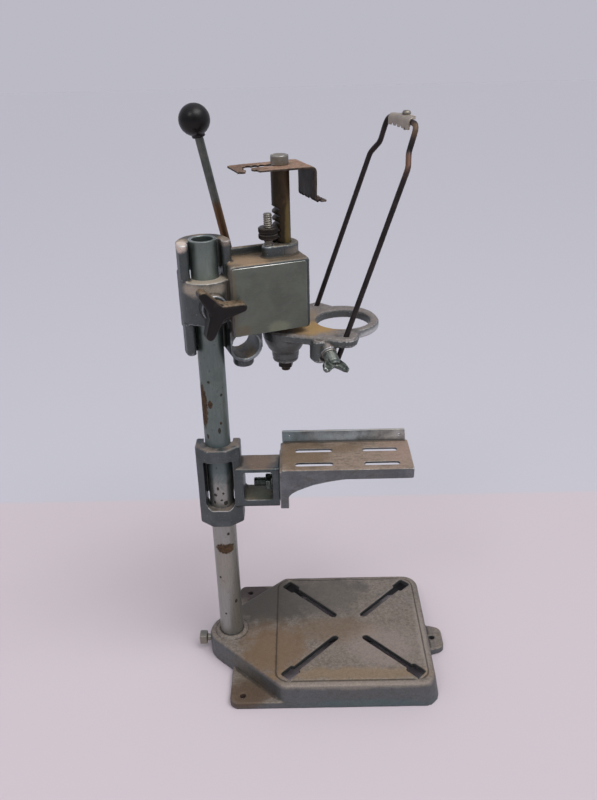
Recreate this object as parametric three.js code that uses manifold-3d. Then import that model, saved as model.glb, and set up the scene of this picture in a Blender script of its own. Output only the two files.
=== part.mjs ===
// Bench stand that turns a hand-held power drill into a drill press.
// Millimetres, Z up, origin on the column axis in the plane of the base underside.
import * as THREE from "three";
import { mergeVertices } from "three/addons/utils/BufferGeometryUtils.js";
import Module from "manifold-3d";

const wasm = await Module();
wasm.setup();

// ---- driving dimensions -------------------------------------------------
const fit = 0.2; // running clearance between mating round parts
const seat = 0.12; // clearance between flat faces that rest on each other

const columnRadius = 12.7;
const columnWall = 3;
const columnTop = 480.5;
const columnFoot = 5.2;
const columnBore = columnRadius + fit;

const baseHeight = 27;
const padHeight = 28;
const baseWall = 5.5;
const baseDraft = 4.5;
const bossRadius = 25;
const collarRadius = 17;
const collarTop = 29.5;
const cornerFrontX = 63;
const cornerRightX = 204;
const cornerY = 78;
const cornerRadius = 10;
const cornerRightY = 71;
const cornerRightRadius = 17;
const padLeft = 52.5;
const padRight = 213;
const padHalf = 80;
const earHeight = 8;
const earRound = 8.5;
const earHoleRadius = 3.3;
const earHoleX = 16;
const earHoleY = 81;
const backEarShift = 4; // the ear behind the column reaches this much further out
const sideEarHoleX = 229;
const slotCentreX = 134;
const slotInner = 18.6;
const slotOuter = 69;
const slotWidth = 7.5;
const ribWidth = 4;
const ribLow = 4;
const slotHeadLong = 17;
const slotHeadWide = 13.5;
const socketFloor = 5;
const socketScrewZ = 15;
const socketScrewRadius = 3.9;
const socketHeadAcross = 11;
const socketHeadThick = 8.6;

const headSwivel = 20.5; // degrees, head casting about the column
const clampRadius = 24; // outer radius of the clamp saddles
const clampGap = 15.3; // half width of the clear space beside the column
const headLow = 374;
const headHigh = 479;
const bridgeLow = 406;
const bridgeHigh = 446;
const rearWindowLow = 399;
const rearWindowHigh = 453;
const clampScrewZ = 424;
const studRadius = 3.9;
const knobArm = 22;
const knobTip = 4.2;
const knobRoot = 7.4;
const knobHub = 9.4;
const knobThick = 13.5;
const knobGap = 1.2; // clamp boss to knob
const clampBossRadius = 12;
const clampBossFront = -29.5;

const boxLeft = 17;
const boxRight = 93;
const boxFront = -25;
const boxLow = 391;
const boxHigh = 459;
const boxBack = 22;
const railFront = 9;
const railBack = 13.5;
const railHigh = 466;
const coverLeft = 18.2;
const coverRight = 89;
const coverLow = 392.6;
const coverHigh = 456.6;
const coverThick = 1.2;

const postX = 75;
const postRadius = 8.4;
const postTop = 536.4;
const postShoulder = 372;
const postTip = 340; // lower end of the post
const postTipRadius = 4.4;
const postBossRadius = 15;
const postBossTop = 469.8;
const postNutAcross = 13;
const postNutLow = 343.4;
const postNutHigh = 349.2;
const postWasherRadius = 8.6;
const postWasherThick = 1.4;
const hubLow = 351;

const gearModule = 2;
const gearTeeth = 20;
const pressureAngle = 20; // degrees
const gearWidth = 14;
const backlash = 0.5;
const gearPitchRadius = (gearModule * gearTeeth) / 2;
const rackPitchX = postX - postRadius + gearModule;
const gearX = rackPitchX - gearPitchRadius;
const gearZ = 425;
const rackLow = 402;
const rackHigh = 501;
const shaftRadius = 5;
const shaftBossRadius = 11;
const shaftBossBack = 32;
const shaftCollarRadius = 9;
const shaftCollarGap = 0.3;
const shaftCollarThick = 5.7;
const gearPocket = 3; // clear space round the gear in the box

const leverV = 64; // plane in which the feed lever swings
const leverTilt = -11.2; // degrees from upright, lever at rest
const leverOffset = -2.9; // lever rod beside the shaft axis
const leverReach = 150.6; // shaft to ball centre
const leverRodRadius = 4;
const leverRodFoot = 8.8;
const leverHubRadius = 9.5;
const leverHubHalf = 6.8;
const leverSocketWall = 2.4;
const leverSocketTop = 16;
const ballRadius = 14.6;
const ballNeck = 6.2;
const ballCollar = 15.9; // ball centre to the end of its collar
const ballSocket = 4.8;

const stopX = 59.2;
const stopY = -8;
const stopBossRadius = 6.4;
const stopRodRadius = 4;
const stopRodLow = 453.3;
const stopRodTop = 498.5;
const stopNutRadius = 8.9;
const stopNutLow = 475.4;
const stopNutHigh = 486.4;

const sheet = 2;
const bracketLeft = 31;
const bracketRight = 101;
const bracketLow = postTop + seat;
const flangeDrop = 30;
const footReach = 10;
const bracketFront = -26;
const bracketBack = 22;
const bracketSlot = 4.7; // half width
const capRadius = 8.1;
const capHigh = 8.4;
const capShank = 14;
const capShankRadius = 4;

const carriageTurn = -4; // degrees, carriage on the post against the head
const carriageTop = 385.8;
const carriageThick = 9;
const ringX = 134.8;
const ringHole = 26.4;
const ringOuter = 35.4;
const ringBack = 4; // the ring's rim is this much fuller at the back
const ringEase = 3;
const yokeFootX = 122.4;
const yokeFootY = 45;
const yokeFootZ = 362.5;
const yokeKneeZ = 535;
const yokeLean = 20.6; // degrees of the legs from upright
const wireRadius = 2.6;
const yokeShoulder = [183.6, 33.6, 546];
const yokeTop = [191, 33, 569.3];
const saddleSheet = 1.3;
const saddleHalf = 23;
const saddleScrewX = 5.8;
const saddleScrewY = 4;
const saddleScrewRadius = 2.3;
const saddleNutAcross = 8;
const wingStudRadius = 3;
const wingHubRadius = 6.6;
const wingHubFoot = 1.5;
const wingHubTop = 14;
const wingThick = 4.2;

const hoopX = 30;
const hoopZ = 379.5;
const hoopHole = 13.2;
const hoopOuter = 16.6;
const hoopFront = -18;
const hoopBack = 16;
const hoopBossRadius = 10;
const hoopBossX = 31.5;
const hoopBossDrop = 9;
const hoopScrewRadius = 2.6;
const hoopScrewDepth = 6;

const tableClampLow = 182;
const tableClampHigh = 273;
const tableClampRadius = 22.4;
const tableClampFront = 19.6;
const tableClampGap = 14.8;
const tableWindowLow = 202;
const tableWindowHigh = 259;
const tableSaddleLow = 214;
const tableSaddleHigh = 251;
const tableScrewZ = 232.5;
const tableKnobBack = 29.5;
const lugRight = 60.8;
const lugHalf = 15;
const lugLow = 203.6;
const lugHigh = 249;
const lugWindowLeft = 24.4;
const lugWindowRight = 54;
const lugWindowLow = 212;
const lugWindowHigh = 244.6;
const tiltZ = 225;
const tiltBoltRadius = 4.75;
const tiltBoltTip = 34.5;
const tiltHeadThick = 6;
const tiltNutAcross = 16;
const tiltNutThick = 5.8;
const tiltWasherRadius = 10;
const tiltWasherThick = 1.4;
const tableTop = 255;
const tableLeft = 64;
const tableRight = 195;
const tableFront = -29;
const tableBack = 30;
const tableLip = 11.8;
const tablePlate = 2.4;
const tableWall = 4;
const tableEndRight = 69.2;
const tableFootLow = 206;
const tableSlotRadius = 3.3;
const fenceHigh = 268;
const fenceThick = 3;
const fenceHoleRadius = 1.3;
const fenceHoleZ = 262;

const radians = (degrees) => (degrees * Math.PI) / 180;

const facets = { large: 40, medium: 28, small: 20, tiny: 14 }; // sides of round features

// ---- finishes -----------------------------------------------------------
function finish(color, roughness, metalness) {
  return new THREE.MeshStandardMaterial({ color, roughness, metalness });
}
const castGrey = () => finish(0x8b8f8c, 0.55, 0.75);
const tubeGrey = () => finish(0x7f8986, 0.45, 0.8);
const darkSteel = () => finish(0x3a332c, 0.6, 0.7);
const plated = () => finish(0x9da09c, 0.4, 0.85);
const rustySteel = () => finish(0x6d4a34, 0.8, 0.4);
const satinPlate = () => finish(0x9c9f98, 0.42, 0.6);
const blackPlastic = () => finish(0x151515, 0.35, 0.05);

// ---- solids -------------------------------------------------------------
function toSolid(geometry) {
  const plain = geometry.clone();
  plain.deleteAttribute("normal");
  plain.deleteAttribute("uv");
  const merged = mergeVertices(plain, 1e-4);
  const corners = merged.attributes.position.array;
  const index = merged.index.array;
  const faces = [];
  let volume = 0;
  for (let i = 0; i < index.length; i += 3) {
    const [a, b, c] = [index[i], index[i + 1], index[i + 2]];
    if (a === b || b === c || c === a) continue;
    faces.push(a, b, c);
    const [p, q, r] = [a, b, c].map((k) => new THREE.Vector3().fromArray(corners, 3 * k));
    volume += p.dot(q.cross(r));
  }
  if (volume < 0) faces.reverse();
  const mesh = new wasm.Mesh({
    numProp: 3,
    vertProperties: new Float32Array(corners),
    triVerts: new Uint32Array(faces),
  });
  return new wasm.Manifold(mesh);
}

function join(...solids) {
  return solids.reduce((whole, next) => whole.add(next));
}

function cut(solid, ...tools) {
  return tools.reduce((whole, tool) => whole.subtract(tool), solid);
}

function toMesh(name, solid, material) {
  const raw = solid.getMesh();
  const geometry = new THREE.BufferGeometry();
  geometry.setAttribute("position", new THREE.BufferAttribute(raw.vertProperties, 3));
  geometry.setIndex(new THREE.BufferAttribute(raw.triVerts, 1));
  geometry.computeVertexNormals();
  const mesh = new THREE.Mesh(geometry, material);
  mesh.name = name;
  return mesh;
}

// Convex outline round a set of circles [x, y, radius].
function hull(circles, steps = facets.small) {
  const points = [];
  for (const [x, y, r] of circles) {
    for (let k = 0; k < steps; k++) {
      const a = (2 * Math.PI * k) / steps;
      points.push([x + r * Math.cos(a), y + r * Math.sin(a)]);
    }
  }
  points.sort((p, q) => p[0] - q[0] || p[1] - q[1]);
  const turn = (o, p, q) => (p[0] - o[0]) * (q[1] - o[1]) - (p[1] - o[1]) * (q[0] - o[0]);
  const half = (list) => {
    const chain = [];
    for (const p of list) {
      while (chain.length > 1 && turn(chain.at(-2), chain.at(-1), p) <= 1e-6) chain.pop();
      chain.push(p);
    }
    chain.pop();
    return chain;
  };
  return [...half(points), ...half([...points].reverse())];
}

function outline(points) {
  return new THREE.Shape(points.map(([x, y]) => new THREE.Vector2(x, y)));
}

function rectangle(x0, y0, x1, y1, radius = 0, steps = 12) {
  if (!radius) return [[x0, y0], [x1, y0], [x1, y1], [x0, y1]];
  const xs = [x0 + radius, x1 - radius];
  const ys = [y0 + radius, y1 - radius];
  return hull(xs.flatMap((x) => ys.map((y) => [x, y, radius])), steps);
}

// Prism of an outline from low to high; edge rounds both end faces.
function prism(points, low, high, edge = 0, steps = 2) {
  const geometry = new THREE.ExtrudeGeometry(outline(points), {
    depth: high - low - 2 * edge,
    bevelEnabled: edge > 0,
    bevelThickness: edge,
    bevelSize: edge,
    bevelOffset: -edge,
    bevelSegments: steps,
    steps: 1,
  });
  geometry.translate(0, 0, low + edge);
  return geometry;
}

const slab = (points, low, high, edge, steps) => toSolid(prism(points, low, high, edge, steps));

// Outline drawn in X-Z and run along Y, or drawn in Y-Z and run along X.
function alongY(points, low, high, edge, steps) {
  const turned = new THREE.Matrix4().makeRotationX(Math.PI / 2);
  return toSolid(prism(points, -high, -low, edge, steps).applyMatrix4(turned));
}

function alongX(points, low, high, edge, steps) {
  const turned = new THREE.Matrix4().makeBasis(
    new THREE.Vector3(0, 1, 0),
    new THREE.Vector3(0, 0, 1),
    new THREE.Vector3(1, 0, 0),
  );
  return toSolid(prism(points, low, high, edge, steps).applyMatrix4(turned));
}

function block(x0, x1, y0, y1, z0, z1) {
  const geometry = new THREE.BoxGeometry(x1 - x0, y1 - y0, z1 - z0);
  geometry.translate((x0 + x1) / 2, (y0 + y1) / 2, (z0 + z1) / 2);
  return toSolid(geometry);
}

function place(geometry, start, direction) {
  const up = new THREE.Vector3(0, 1, 0);
  const way = new THREE.Vector3(...direction).normalize();
  geometry.applyQuaternion(new THREE.Quaternion().setFromUnitVectors(up, way));
  geometry.translate(...start);
  return toSolid(geometry);
}

function rod(radius, from, to, sides = facets.small) {
  const way = to.map((v, k) => v - from[k]);
  const length = Math.hypot(...way);
  const geometry = new THREE.CylinderGeometry(radius, radius, length, sides);
  geometry.translate(0, length / 2, 0);
  return place(geometry, from, way);
}

// Closed profile of [radius, height] turned about an axis.
function turned(profile, start = [0, 0, 0], direction = [0, 0, 1], sides = facets.medium) {
  const closed = [...profile, profile[0]].map(([r, h]) => new THREE.Vector2(r, h));
  return place(new THREE.LatheGeometry(closed, sides), start, direction);
}

function hexagon(across, turn = 0) {
  const r = across / Math.sqrt(3);
  return [0, 1, 2, 3, 4, 5].map((k) => {
    const a = turn + (k * Math.PI) / 3;
    return [r * Math.cos(a), r * Math.sin(a)];
  });
}

const shifted = (points, dx, dy) => points.map(([x, y]) => [x + dx, y + dy]);

// ---- base ---------------------------------------------------------------
function baseOutline(inset) {
  return hull([
    [0, 0, bossRadius - inset],
    [cornerFrontX, -cornerY, cornerRadius - inset],
    [cornerFrontX, cornerY, cornerRadius - inset],
    [cornerRightX, -cornerRightY, cornerRightRadius - inset],
    [cornerRightX, cornerRightY, cornerRightRadius - inset],
  ], facets.medium);
}

// Sides lean outward towards the floor, least round the column boss.
function draft(geometry) {
  const position = geometry.attributes.position;
  const far = cornerRightX + cornerRightRadius;
  for (let i = 0; i < position.count; i++) {
    const depth = Math.max(0, 1 - position.getZ(i) / baseHeight) * baseDraft;
    const x = position.getX(i);
    const away = Math.max(0, x - cornerFrontX) / (far - cornerFrontX);
    position.setX(i, x + depth * away);
    position.setY(i, position.getY(i) * (1 + depth / (cornerY + cornerRadius)));
  }
  return geometry;
}

function baseSlot(sideX, sideY) {
  const inner = [slotCentreX + sideX * slotInner * 0.93, sideY * slotInner, slotWidth / 2];
  const outer = [slotCentreX + sideX * slotOuter * 0.97, sideY * slotOuter, slotWidth / 2];
  const half = slotHeadWide / 2;
  const long = slotHeadLong / 2;
  const q = Math.SQRT1_2;
  const head = [[-long, -half], [long, -half], [long, half], [-long, half]].map(([a, b]) => [
    outer[0] + sideX * q * (a - b),
    outer[1] + sideY * q * (a + b),
  ]);
  if (sideX * sideY < 0) head.reverse();
  const low = baseHeight - baseWall - 2;
  return join(slab(hull([inner, outer], facets.tiny), low, padHeight + 2), slab(head, low, padHeight + 2));
}

function baseCasting() {
  const below = -12; // solids start under the floor plane and are cut flat there
  const shell = toSolid(draft(prism(baseOutline(0), below, baseHeight, 3.6, 2)));
  const cornerEar = (side, reach) => hull([
    [earHoleX - 5, side * reach, earRound],
    [earHoleX - 7, side * 35, earRound - 2],
    [cornerFrontX + 7, side * reach, earRound],
    [cornerFrontX - 3, side * 40, earRound - 2.5],
  ], facets.tiny);
  const earReach = earHoleY + 2.5;
  const sideEar = hull([-1, 1].flatMap((side) => [
    [sideEarHoleX + 3.5, side * 9, earRound + 0.5],
    [cornerRightX + 8, side * 15, earRound + 0.5],
  ]), facets.tiny);
  const pad = slab(rectangle(padLeft, -padHalf, padRight, padHalf, 12), baseHeight - 2, padHeight, 0.5, 1);
  const collar = turned(
    [[0, baseHeight - 1], [collarRadius, baseHeight - 1], [collarRadius, collarTop - 1],
      [collarRadius - 1, collarTop], [0, collarTop]],
    [0, 0, 0], [0, 0, 1], facets.large,
  );
  const solid = join(
    shell,
    slab(cornerEar(-1, earReach), below, earHeight, 1, 1),
    slab(cornerEar(1, earReach + backEarShift), below, earHeight, 1, 1),
    slab(sideEar, below, earHeight, 1, 1),
    pad,
    collar,
  );
  const hollow = cut(
    slab(baseOutline(baseWall), -2, baseHeight - baseWall),
    rod(bossRadius - 0.5, [0, 0, -3], [0, 0, baseHeight], facets.small),
    block(bossRadius, cornerRightX + 10, -ribWidth / 2, ribWidth / 2, ribLow, baseHeight),
    block(slotCentreX - ribWidth / 2, slotCentreX + ribWidth / 2, -84, 84, ribLow, baseHeight),
  );
  const holePlaces = [[earHoleX, -earHoleY], [earHoleX, earHoleY + backEarShift / 2], [sideEarHoleX, 0]];
  const holes = holePlaces.map(([x, y]) =>
    rod(earHoleRadius, [x, y, -2], [x, y, earHeight + 4], facets.tiny));
  const slots = [[-1, -1], [-1, 1], [1, -1], [1, 1]].map(([x, y]) => baseSlot(x, y));
  return cut(
    solid,
    block(-bossRadius - 20, sideEarHoleX + 30, -cornerY - 40, cornerY + 40, below - 5, 0),
    hollow,
    ...holes,
    ...slots,
    rod(columnBore, [0, 0, socketFloor], [0, 0, collarTop + 2], facets.large),
    rod(socketScrewRadius + fit, [-40, 0, socketScrewZ], [0, 0, socketScrewZ], facets.tiny),
  );
}

function columnTube() {
  const inner = columnRadius - columnWall;
  const edge = 0.6;
  return turned([
    [inner, columnFoot],
    [columnRadius, columnFoot],
    [columnRadius, columnTop - edge],
    [columnRadius - edge, columnTop],
    [inner + edge, columnTop],
    [inner, columnTop - edge],
  ], [0, 0, 0], [0, 0, 1], facets.large);
}

function columnSetScrew() {
  const headFace = -bossRadius - 4;
  const half = socketHeadAcross / 2;
  const head = alongX(
    rectangle(-half, socketScrewZ - half, half, socketScrewZ + half),
    headFace - socketHeadThick, headFace, 0.8, 1,
  );
  const shank = rod(
    socketScrewRadius,
    [headFace - 1, 0, socketScrewZ],
    [-columnRadius - fit - 0.1, 0, socketScrewZ], facets.tiny,
  );
  return join(head, shank);
}

// ---- clamp castings -----------------------------------------------------
// Side walls with half saddles; front and back windows are staggered in height.
function clampBody(plan, radius, gap, low, high, noseReach, windows) {
  const nose = (radius - gap) / 2;
  const walls = slab(plan, low, high, 1.4, 1);
  const tools = windows.map(({ side, from, to }) =>
    block(-gap, gap, side < 0 ? -radius - 20 : 0, side < 0 ? 0 : radius + 20, from, to));
  const trims = windows.map(({ side, from, to }) => {
    const reach = 8;
    const near = side < 0 ? -radius - 20 : reach;
    const away = side < 0 ? -reach : radius + 20;
    return block(-radius - 5, radius + 5, near, away, from, to);
  });
  const kept = cut(walls, ...tools, ...trims);
  const noses = windows.flatMap(({ side, from, to }) => [-1, 1].map((x) =>
    slab(
      hull([[x * (gap + nose), side * noseReach, nose], [x * (gap + nose), 0, nose]], facets.tiny),
      Math.max(from, low), Math.min(to, high), 1, 1,
    )));
  return join(kept, ...noses);
}

function clampKnob(centre, faceY, outward, firstAngle) {
  const [x, z] = centre;
  const arms = [0, 1, 2].map((k) => {
    const a = firstAngle + (k * 2 * Math.PI) / 3;
    const tip = [x + knobArm * Math.cos(a), z + knobArm * Math.sin(a), knobTip];
    const low = Math.min(faceY, faceY + outward * knobThick);
    return alongY(hull([[x, z, knobRoot], tip], facets.tiny), low, low + knobThick, 1.4, 1);
  });
  const from = [x, faceY, z];
  const to = [x, faceY + outward * (knobThick - 1.4), z];
  const hub = rod(knobHub, from, to);
  const bore = rod(studRadius + 0.05 + fit, [x, faceY - outward * 5, z],
    [x, faceY + outward * (knobThick - 3), z], facets.tiny);
  return cut(join(...arms, hub), bore);
}

// ---- head ---------------------------------------------------------------
const knobFace = clampBossFront - knobGap;

function headCasting() {
  const round = hull([[0, 0, clampRadius]], facets.large);
  const clamp = clampBody(round, clampRadius, clampGap, headLow, headHigh, 7, [
    { side: -1, from: bridgeHigh, to: headHigh + 1 },
    { side: -1, from: headLow - 1, to: bridgeLow },
    { side: 1, from: rearWindowLow, to: rearWindowHigh },
  ]);
  const clampBoss = rod(
    clampBossRadius, [0, -clampRadius + 3, clampScrewZ], [0, clampBossFront, clampScrewZ], facets.medium,
  );
  const box = alongY(rectangle(boxLeft, boxLow, boxRight, boxHigh, 3.5), boxFront, boxBack, 2.6, 2);
  const rail = alongY(
    rectangle(boxLeft + 3, boxLow, boxRight - 1.5, railHigh, 4), railFront, railBack, 1.2, 1,
  );
  const postBoss = turned([
    [0, boxHigh - 12],
    [postBossRadius, boxHigh - 12],
    [postBossRadius, postBossTop - 1.4],
    [postBossRadius - 1.4, postBossTop],
    [0, postBossTop],
  ], [postX, 0, 0]);
  const land = hull([[stopX, stopY, stopBossRadius], [postX, 0, postBossRadius]], facets.medium);
  const stopBoss = slab(land, boxHigh - 8, postBossTop, 1.4, 1);
  const shaftBoss = rod(shaftBossRadius, [gearX, boxBack - 3, gearZ], [gearX, shaftBossBack, gearZ]);
  const hoop = rod(hoopOuter, [hoopX, hoopFront, hoopZ], [hoopX, hoopBack, hoopZ], 36);
  const hoopNeck = block(
    hoopX - hoopOuter, hoopX + hoopOuter, hoopFront, hoopBack, hoopZ, boxLow + 4,
  );
  const hoopBossLow = hoopZ - hoopOuter - hoopBossDrop;
  const hoopBossHigh = hoopZ - hoopHole + 4;
  const hoopMiddle = (hoopFront + hoopBack) / 2;
  const screwBoss = turned([
    [0, hoopBossLow],
    [hoopBossRadius - 1.4, hoopBossLow],
    [hoopBossRadius, hoopBossLow + 2],
    [hoopBossRadius, hoopBossHigh],
    [0, hoopBossHigh],
  ], [hoopBossX, hoopMiddle, 0], [0, 0, 1], facets.small);
  const solid = join(
    clamp, clampBoss, box, rail, postBoss, stopBoss, shaftBoss, hoop, hoopNeck, screwBoss,
  );
  const gearSpace = rod(
    gearPitchRadius + gearPocket, [gearX, boxFront - 5, gearZ], [gearX, railFront, gearZ], facets.medium,
  );
  const stopAt = (z) => [stopX, stopY, z];
  const underHoop = (z) => [hoopBossX, hoopMiddle, z];
  const columnHole = rod(columnBore, [0, 0, headLow - 5], [0, 0, headHigh + 5], facets.large);
  const besideColumn = (from, to, front, back) => block(-clampGap, clampGap, front, back, from, to);
  return cut(
    solid,
    columnHole,
    besideColumn(bridgeHigh, headHigh + 5, -60, 0),
    besideColumn(headLow - 5, bridgeLow, -60, 0),
    besideColumn(rearWindowLow, rearWindowHigh, 0, 60),
    rod(postRadius + fit, [postX, 0, boxLow - 5], [postX, 0, postBossTop + 5], facets.medium),
    gearSpace,
    rod(shaftRadius + fit, [gearX, 0, gearZ], [gearX, shaftBossBack + 5, gearZ]),
    rod(hoopHole, [hoopX, hoopFront - 20, hoopZ], [hoopX, boxBack + 5, hoopZ], 36),
    rod(hoopScrewRadius, underHoop(hoopBossLow - 5), underHoop(hoopBossLow + hoopScrewDepth), 12),
    rod(studRadius + fit, [0, 0, clampScrewZ], [0, -60, clampScrewZ], facets.tiny),
    rod(stopRodRadius + fit, stopAt(stopRodLow - seat), stopAt(postBossTop + 5), facets.tiny),
  );
}

function gearCover() {
  const back = boxFront - seat;
  return alongY(
    rectangle(coverLeft, coverLow, coverRight, coverHigh, 2), back - coverThick, back, 0.25, 1,
  );
}

function clampStud(outward, z, face) {
  const tip = outward * (columnRadius + fit + 0.1);
  return rod(studRadius, [0, tip, z], [0, face + outward * (knobThick - 4), z], facets.tiny);
}

// ---- feed gear ----------------------------------------------------------
function gearOutline() {
  const pressure = radians(pressureAngle);
  const involute = (a) => Math.tan(a) - a;
  const baseCircle = gearPitchRadius * Math.cos(pressure);
  const tip = gearPitchRadius + gearModule * 0.95;
  const root = gearPitchRadius - gearModule * 1.25;
  const halfTooth = Math.PI / gearTeeth / 2 - backlash / 4 / gearPitchRadius;
  const flank = [];
  for (let k = 0; k <= 3; k++) {
    const r = baseCircle + ((tip - baseCircle) * k) / 3;
    const roll = Math.acos(baseCircle / r);
    flank.push([r, halfTooth + involute(pressure) - involute(roll)]);
  }
  const points = [];
  for (let tooth = 0; tooth < gearTeeth; tooth++) {
    const middle = (2 * Math.PI * tooth) / gearTeeth;
    const side = [[root, flank[0][1]], ...flank];
    for (const [r, a] of side) points.push([r, middle - a]);
    for (const [r, a] of side.reverse()) points.push([r, middle + a]);
  }
  return points.map(([r, a]) => [gearX + r * Math.cos(a), gearZ + r * Math.sin(a)]);
}

function pinion() {
  const half = gearWidth / 2;
  return cut(
    alongY(gearOutline(), -half, half),
    rod(shaftRadius + fit, [gearX, -20, gearZ], [gearX, 20, gearZ]),
  );
}

function postRack() {
  const bar = turned([
    [0, postTip],
    [postTipRadius - 0.8, postTip],
    [postTipRadius, postTip + 0.8],
    [postTipRadius, postShoulder],
    [postRadius, postShoulder],
    [postRadius, postTop],
    [0, postTop],
  ], [postX, 0, 0]);
  const pitch = Math.PI * gearModule;
  const slope = Math.tan(radians(pressureAngle));
  const halfGap = pitch / 4 + backlash / 4;
  const deep = rackPitchX + gearModule * 1.25;
  const out = postX - postRadius - 4;
  const first = Math.ceil((rackLow - gearZ) / pitch);
  const last = Math.floor((rackHigh - gearZ) / pitch);
  const gaps = [];
  for (let k = first; k <= last; k++) {
    const z = gearZ + k * pitch;
    const narrow = halfGap - (deep - rackPitchX) * slope;
    const wide = halfGap + (rackPitchX - out) * slope;
    const wedge = [[out, z - wide], [deep, z - narrow], [deep, z + narrow], [out, z + wide]];
    gaps.push(alongY(wedge, -12, 12));
  }
  const capHole = rod(
    capShankRadius + 0.3, [postX, 0, postTop - capShank - 1], [postX, 0, postTop + 2], facets.tiny,
  );
  return cut(bar, ...gaps, capHole);
}

// ---- feed lever ---------------------------------------------------------
const leverWay = [
  Math.sin(radians(leverTilt)),
  0,
  Math.cos(radians(leverTilt)),
];
const leverAxis = [gearX + leverOffset, leverV, gearZ];
const onLever = (distance) => leverAxis.map((v, k) => v + distance * leverWay[k]);

function feedShaft() {
  const from = [gearX, -gearWidth / 2 - 1.5, gearZ];
  return rod(shaftRadius, from, [gearX, leverV + 6, gearZ]);
}

function shaftCollar() {
  const front = shaftBossBack + shaftCollarGap;
  const back = front + shaftCollarThick;
  return cut(
    rod(shaftCollarRadius, [gearX, front, gearZ], [gearX, back, gearZ]),
    rod(shaftRadius + fit, [gearX, front - 2, gearZ], [gearX, back + 3, gearZ]),
  );
}

function leverHub() {
  const half = leverHubHalf;
  return cut(
    join(
      rod(leverHubRadius, [gearX, leverV - half, gearZ], [gearX, leverV + half, gearZ], facets.medium),
      rod(leverRodRadius + leverSocketWall, onLever(2), onLever(leverSocketTop), 16),
    ),
    rod(shaftRadius + fit, [gearX, leverV - half - 2, gearZ], [gearX, leverV + half - 0.5, gearZ]),
    rod(leverRodRadius + fit, onLever(leverRodFoot - fit), onLever(leverSocketTop + 4), 16),
  );
}

function leverRod() {
  return rod(leverRodRadius, onLever(leverRodFoot), onLever(leverReach - ballSocket - fit), 16);
}

function leverBall() {
  const start = Math.asin(ballNeck / ballRadius);
  const low = leverReach - ballCollar;
  const profile = [[leverRodRadius + fit, low], [ballNeck - 0.8, low], [ballNeck, low + 0.9]];
  for (let k = 0; k <= 9; k++) {
    const a = start + ((Math.PI - start) * k) / 9;
    profile.push([ballRadius * Math.sin(a), leverReach - ballRadius * Math.cos(a)]);
  }
  profile.at(-1)[0] = 0;
  profile.push([0, leverReach - ballSocket], [leverRodRadius + fit, leverReach - ballSocket]);
  return turned(profile, leverAxis, leverWay, 24);
}

// ---- depth stop ---------------------------------------------------------
function stopRod() {
  return turned([
    [0, stopRodLow],
    [stopRodRadius, stopRodLow],
    [stopRodRadius, stopRodTop - 0.8],
    [stopRodRadius - 0.8, stopRodTop],
    [0, stopRodTop],
  ], [stopX, stopY, 0], [0, 0, 1], facets.tiny);
}

function stopNut() {
  const middle = (stopNutLow + stopNutHigh) / 2;
  const r = stopNutRadius;
  return turned([
    [stopRodRadius + fit, stopNutLow],
    [r - 1.4, stopNutLow],
    [r, stopNutLow + 1.2],
    [r, middle - 0.9],
    [r - 1, middle - 0.5],
    [r - 1, middle + 0.5],
    [r, middle + 0.9],
    [r, stopNutHigh - 0.8],
    [r - 0.8, stopNutHigh],
    [stopRodRadius + fit, stopNutHigh],
  ], [stopX, stopY, 0], [0, 0, 1], 24);
}

// ---- steady bracket -----------------------------------------------------
// Sheet strip that follows a bent centre line, drawn in X-Z.
function stripOutline(line, thick) {
  const left = [];
  const right = [];
  line.forEach(([x, z], k) => {
    const before = line[Math.max(0, k - 1)];
    const after = line[Math.min(line.length - 1, k + 1)];
    const a = new THREE.Vector2(x - before[0], z - before[1]).normalize();
    const b = new THREE.Vector2(after[0] - x, after[1] - z).normalize();
    const way = a.add(b).normalize();
    const out = thick / 2;
    left.push([x - way.y * out, z + way.x * out]);
    right.push([x + way.y * out, z - way.x * out]);
  });
  return [...right, ...left.reverse()];
}

function bend(cx, cz, radius, from, to, steps = 4) {
  const points = [];
  for (let k = 0; k <= steps; k++) {
    const a = radians(from + ((to - from) * k) / steps);
    points.push([cx + radius * Math.cos(a), cz + radius * Math.sin(a)]);
  }
  return points;
}

function steadyBracket() {
  const z = bracketLow + sheet / 2;
  const x = bracketRight - sheet / 2;
  const foot = z - flangeDrop;
  const line = [
    [bracketLeft, z],
    ...bend(x - 4, z - 4, 4, 90, 0),
    ...bend(x + 2.2, foot + 2.2, 2.2, 180, 270, 3),
    [x + footReach, foot + 0.4],
  ];
  const strip = alongY(stripOutline(line, sheet), bracketFront, bracketBack);
  const end = bracketRight + footReach + 4;
  const front = [
    [0, -18.6], [3, -19.4], [11, -20], [11.4, -14.6], [14, -13.6], [18, -14.6], [18.4, -20.8],
  ];
  const plan = [
    ...shifted(front, bracketLeft, 0), [bracketRight - 11, -23.6], [end, -24.4], [end, -9],
    [end - 11, -7.5], [end, -6], [end, 8], [bracketRight + 5, 18.6], [bracketRight - 11, 18.2],
    [bracketLeft + 2, 15.4], [bracketLeft, 13.8],
  ];
  const slot = [[postX, 0, bracketSlot], [bracketLeft + 14, 0, bracketSlot]];
  const bites = [16, 22.5, 29].map((reach) => {
    const at = (height) => [bracketLeft + reach, bracketSlot, height];
    return rod(bracketSlot / 2, at(z - 9), at(z + 9), 12);
  });
  return cut(
    strip.intersect(slab(plan, foot - 9, z + 9)),
    slab(hull(slot, 16), z - 6, z + 9),
    ...bites,
  );
}

function postCap() {
  const low = bracketLow + sheet + seat;
  return turned([
    [0, postTop - capShank],
    [capShankRadius, postTop - capShank],
    [capShankRadius, low],
    [capRadius, low],
    [capRadius, low + capHigh - 1.2],
    [capRadius - 1.2, low + capHigh],
    [0, low + capHigh],
  ], [postX, 0, 0], [0, 0, 1], 24);
}

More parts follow.
